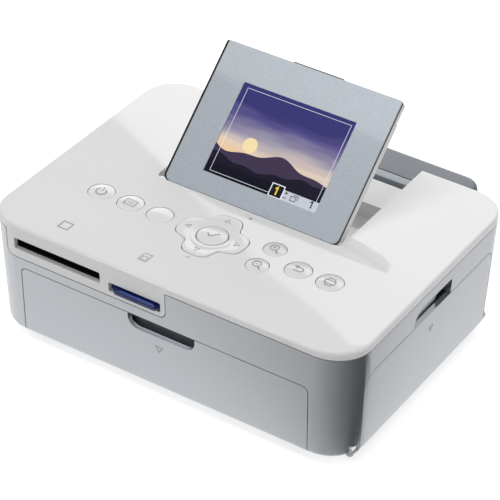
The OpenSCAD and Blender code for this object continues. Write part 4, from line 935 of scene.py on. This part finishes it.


# Painted reflection that the satin walls mirror of the table, with a painted dark sector that shades the
# case's front right corner, by direction from that corner, as (turn, brightness)
FRONT_RIGHT_CORNER = (0.088, -0.063)
PAINTED_CORNER_REFLECTION = ((0.0, 0.98), (0.05, 0.84), (0.14, 0.52), (0.28, 0.28), (0.38, 0.17), (0.48, 0.08),
              (0.58, 0.02), (0.625, 0.04), (0.66, 0.52), (0.70, 0.76), (0.76, 0.96), (1.0, 1.0))


def painted_corner_reflection(tree):
    """Painted reflection for the satin walls: a bright table with a painted dark sector beyond the front
    right corner, which shades that corner.
    """
    coords = tree.nodes.new("ShaderNodeTexCoord")
    shift = tree.nodes.new("ShaderNodeMapping")
    shift.inputs["Location"].default_value = (-FRONT_RIGHT_CORNER[0], -FRONT_RIGHT_CORNER[1], 0.0)
    tree.links.new(coords.outputs["Object"], shift.inputs["Vector"])
    turn = tree.nodes.new("ShaderNodeTexGradient")
    turn.gradient_type = "RADIAL"
    tree.links.new(shift.outputs["Vector"], turn.inputs["Vector"])
    ramp = tree.nodes.new("ShaderNodeValToRGB")
    stops = ramp.color_ramp.elements
    while len(stops) < len(PAINTED_CORNER_REFLECTION):
        stops.new(0.5)
    for stop, (turned, value) in zip(stops, PAINTED_CORNER_REFLECTION):
        stop.position = turned
        stop.color = (value, value, value, 1)
    tree.links.new(turn.outputs["Fac"], ramp.inputs["Fac"])
    emission = tree.nodes.new("ShaderNodeEmission")
    tree.links.new(ramp.outputs["Color"], emission.inputs["Color"])
    return emission.outputs["Emission"]


def white_floor():
    """Pale floor that keeps the object's shadow and is otherwise white to the camera."""
    outline = rectangle(-FLOOR_HALF, -FLOOR_HALF, FLOOR_HALF, FLOOR_HALF)
    mesh = bpy.data.meshes.new("studio_floor")
    mesh.from_pydata([(x, y, 0) for x, y in outline], [], [(0, 1, 2, 3)])
    floor = bpy.data.objects.new("studio_floor", mesh)
    bpy.context.scene.collection.objects.link(floor)
    material, tree, shader = new_material("studio_floor")
    shader.inputs["Base Color"].default_value = (0.80, 0.80, 0.80, 1)
    shader.inputs["Roughness"].default_value = 0.9
    shader.inputs["Specular IOR Level"].default_value = 0.0
    shader.inputs["Emission Color"].default_value = (1, 1, 1, 1)
    seen, mirrored = seen_directly(tree)
    tree.links.new(pick(tree, seen, 0.0, FLOOR_GLOW), shader.inputs["Emission Strength"])
    # Mirrors see the painted corner reflection instead of the lit floor
    mix = tree.nodes.new("ShaderNodeMixShader")
    tree.links.new(mirrored, mix.inputs["Fac"])
    tree.links.new(shader.outputs["BSDF"], mix.inputs[1])
    tree.links.new(painted_corner_reflection(tree), mix.inputs[2])
    tree.links.new(mix.outputs["Shader"], tree.nodes["Material Output"].inputs["Surface"])
    mesh.materials.append(material)


white_world()
white_floor()
bpy.context.scene.view_settings.view_transform = "Standard"
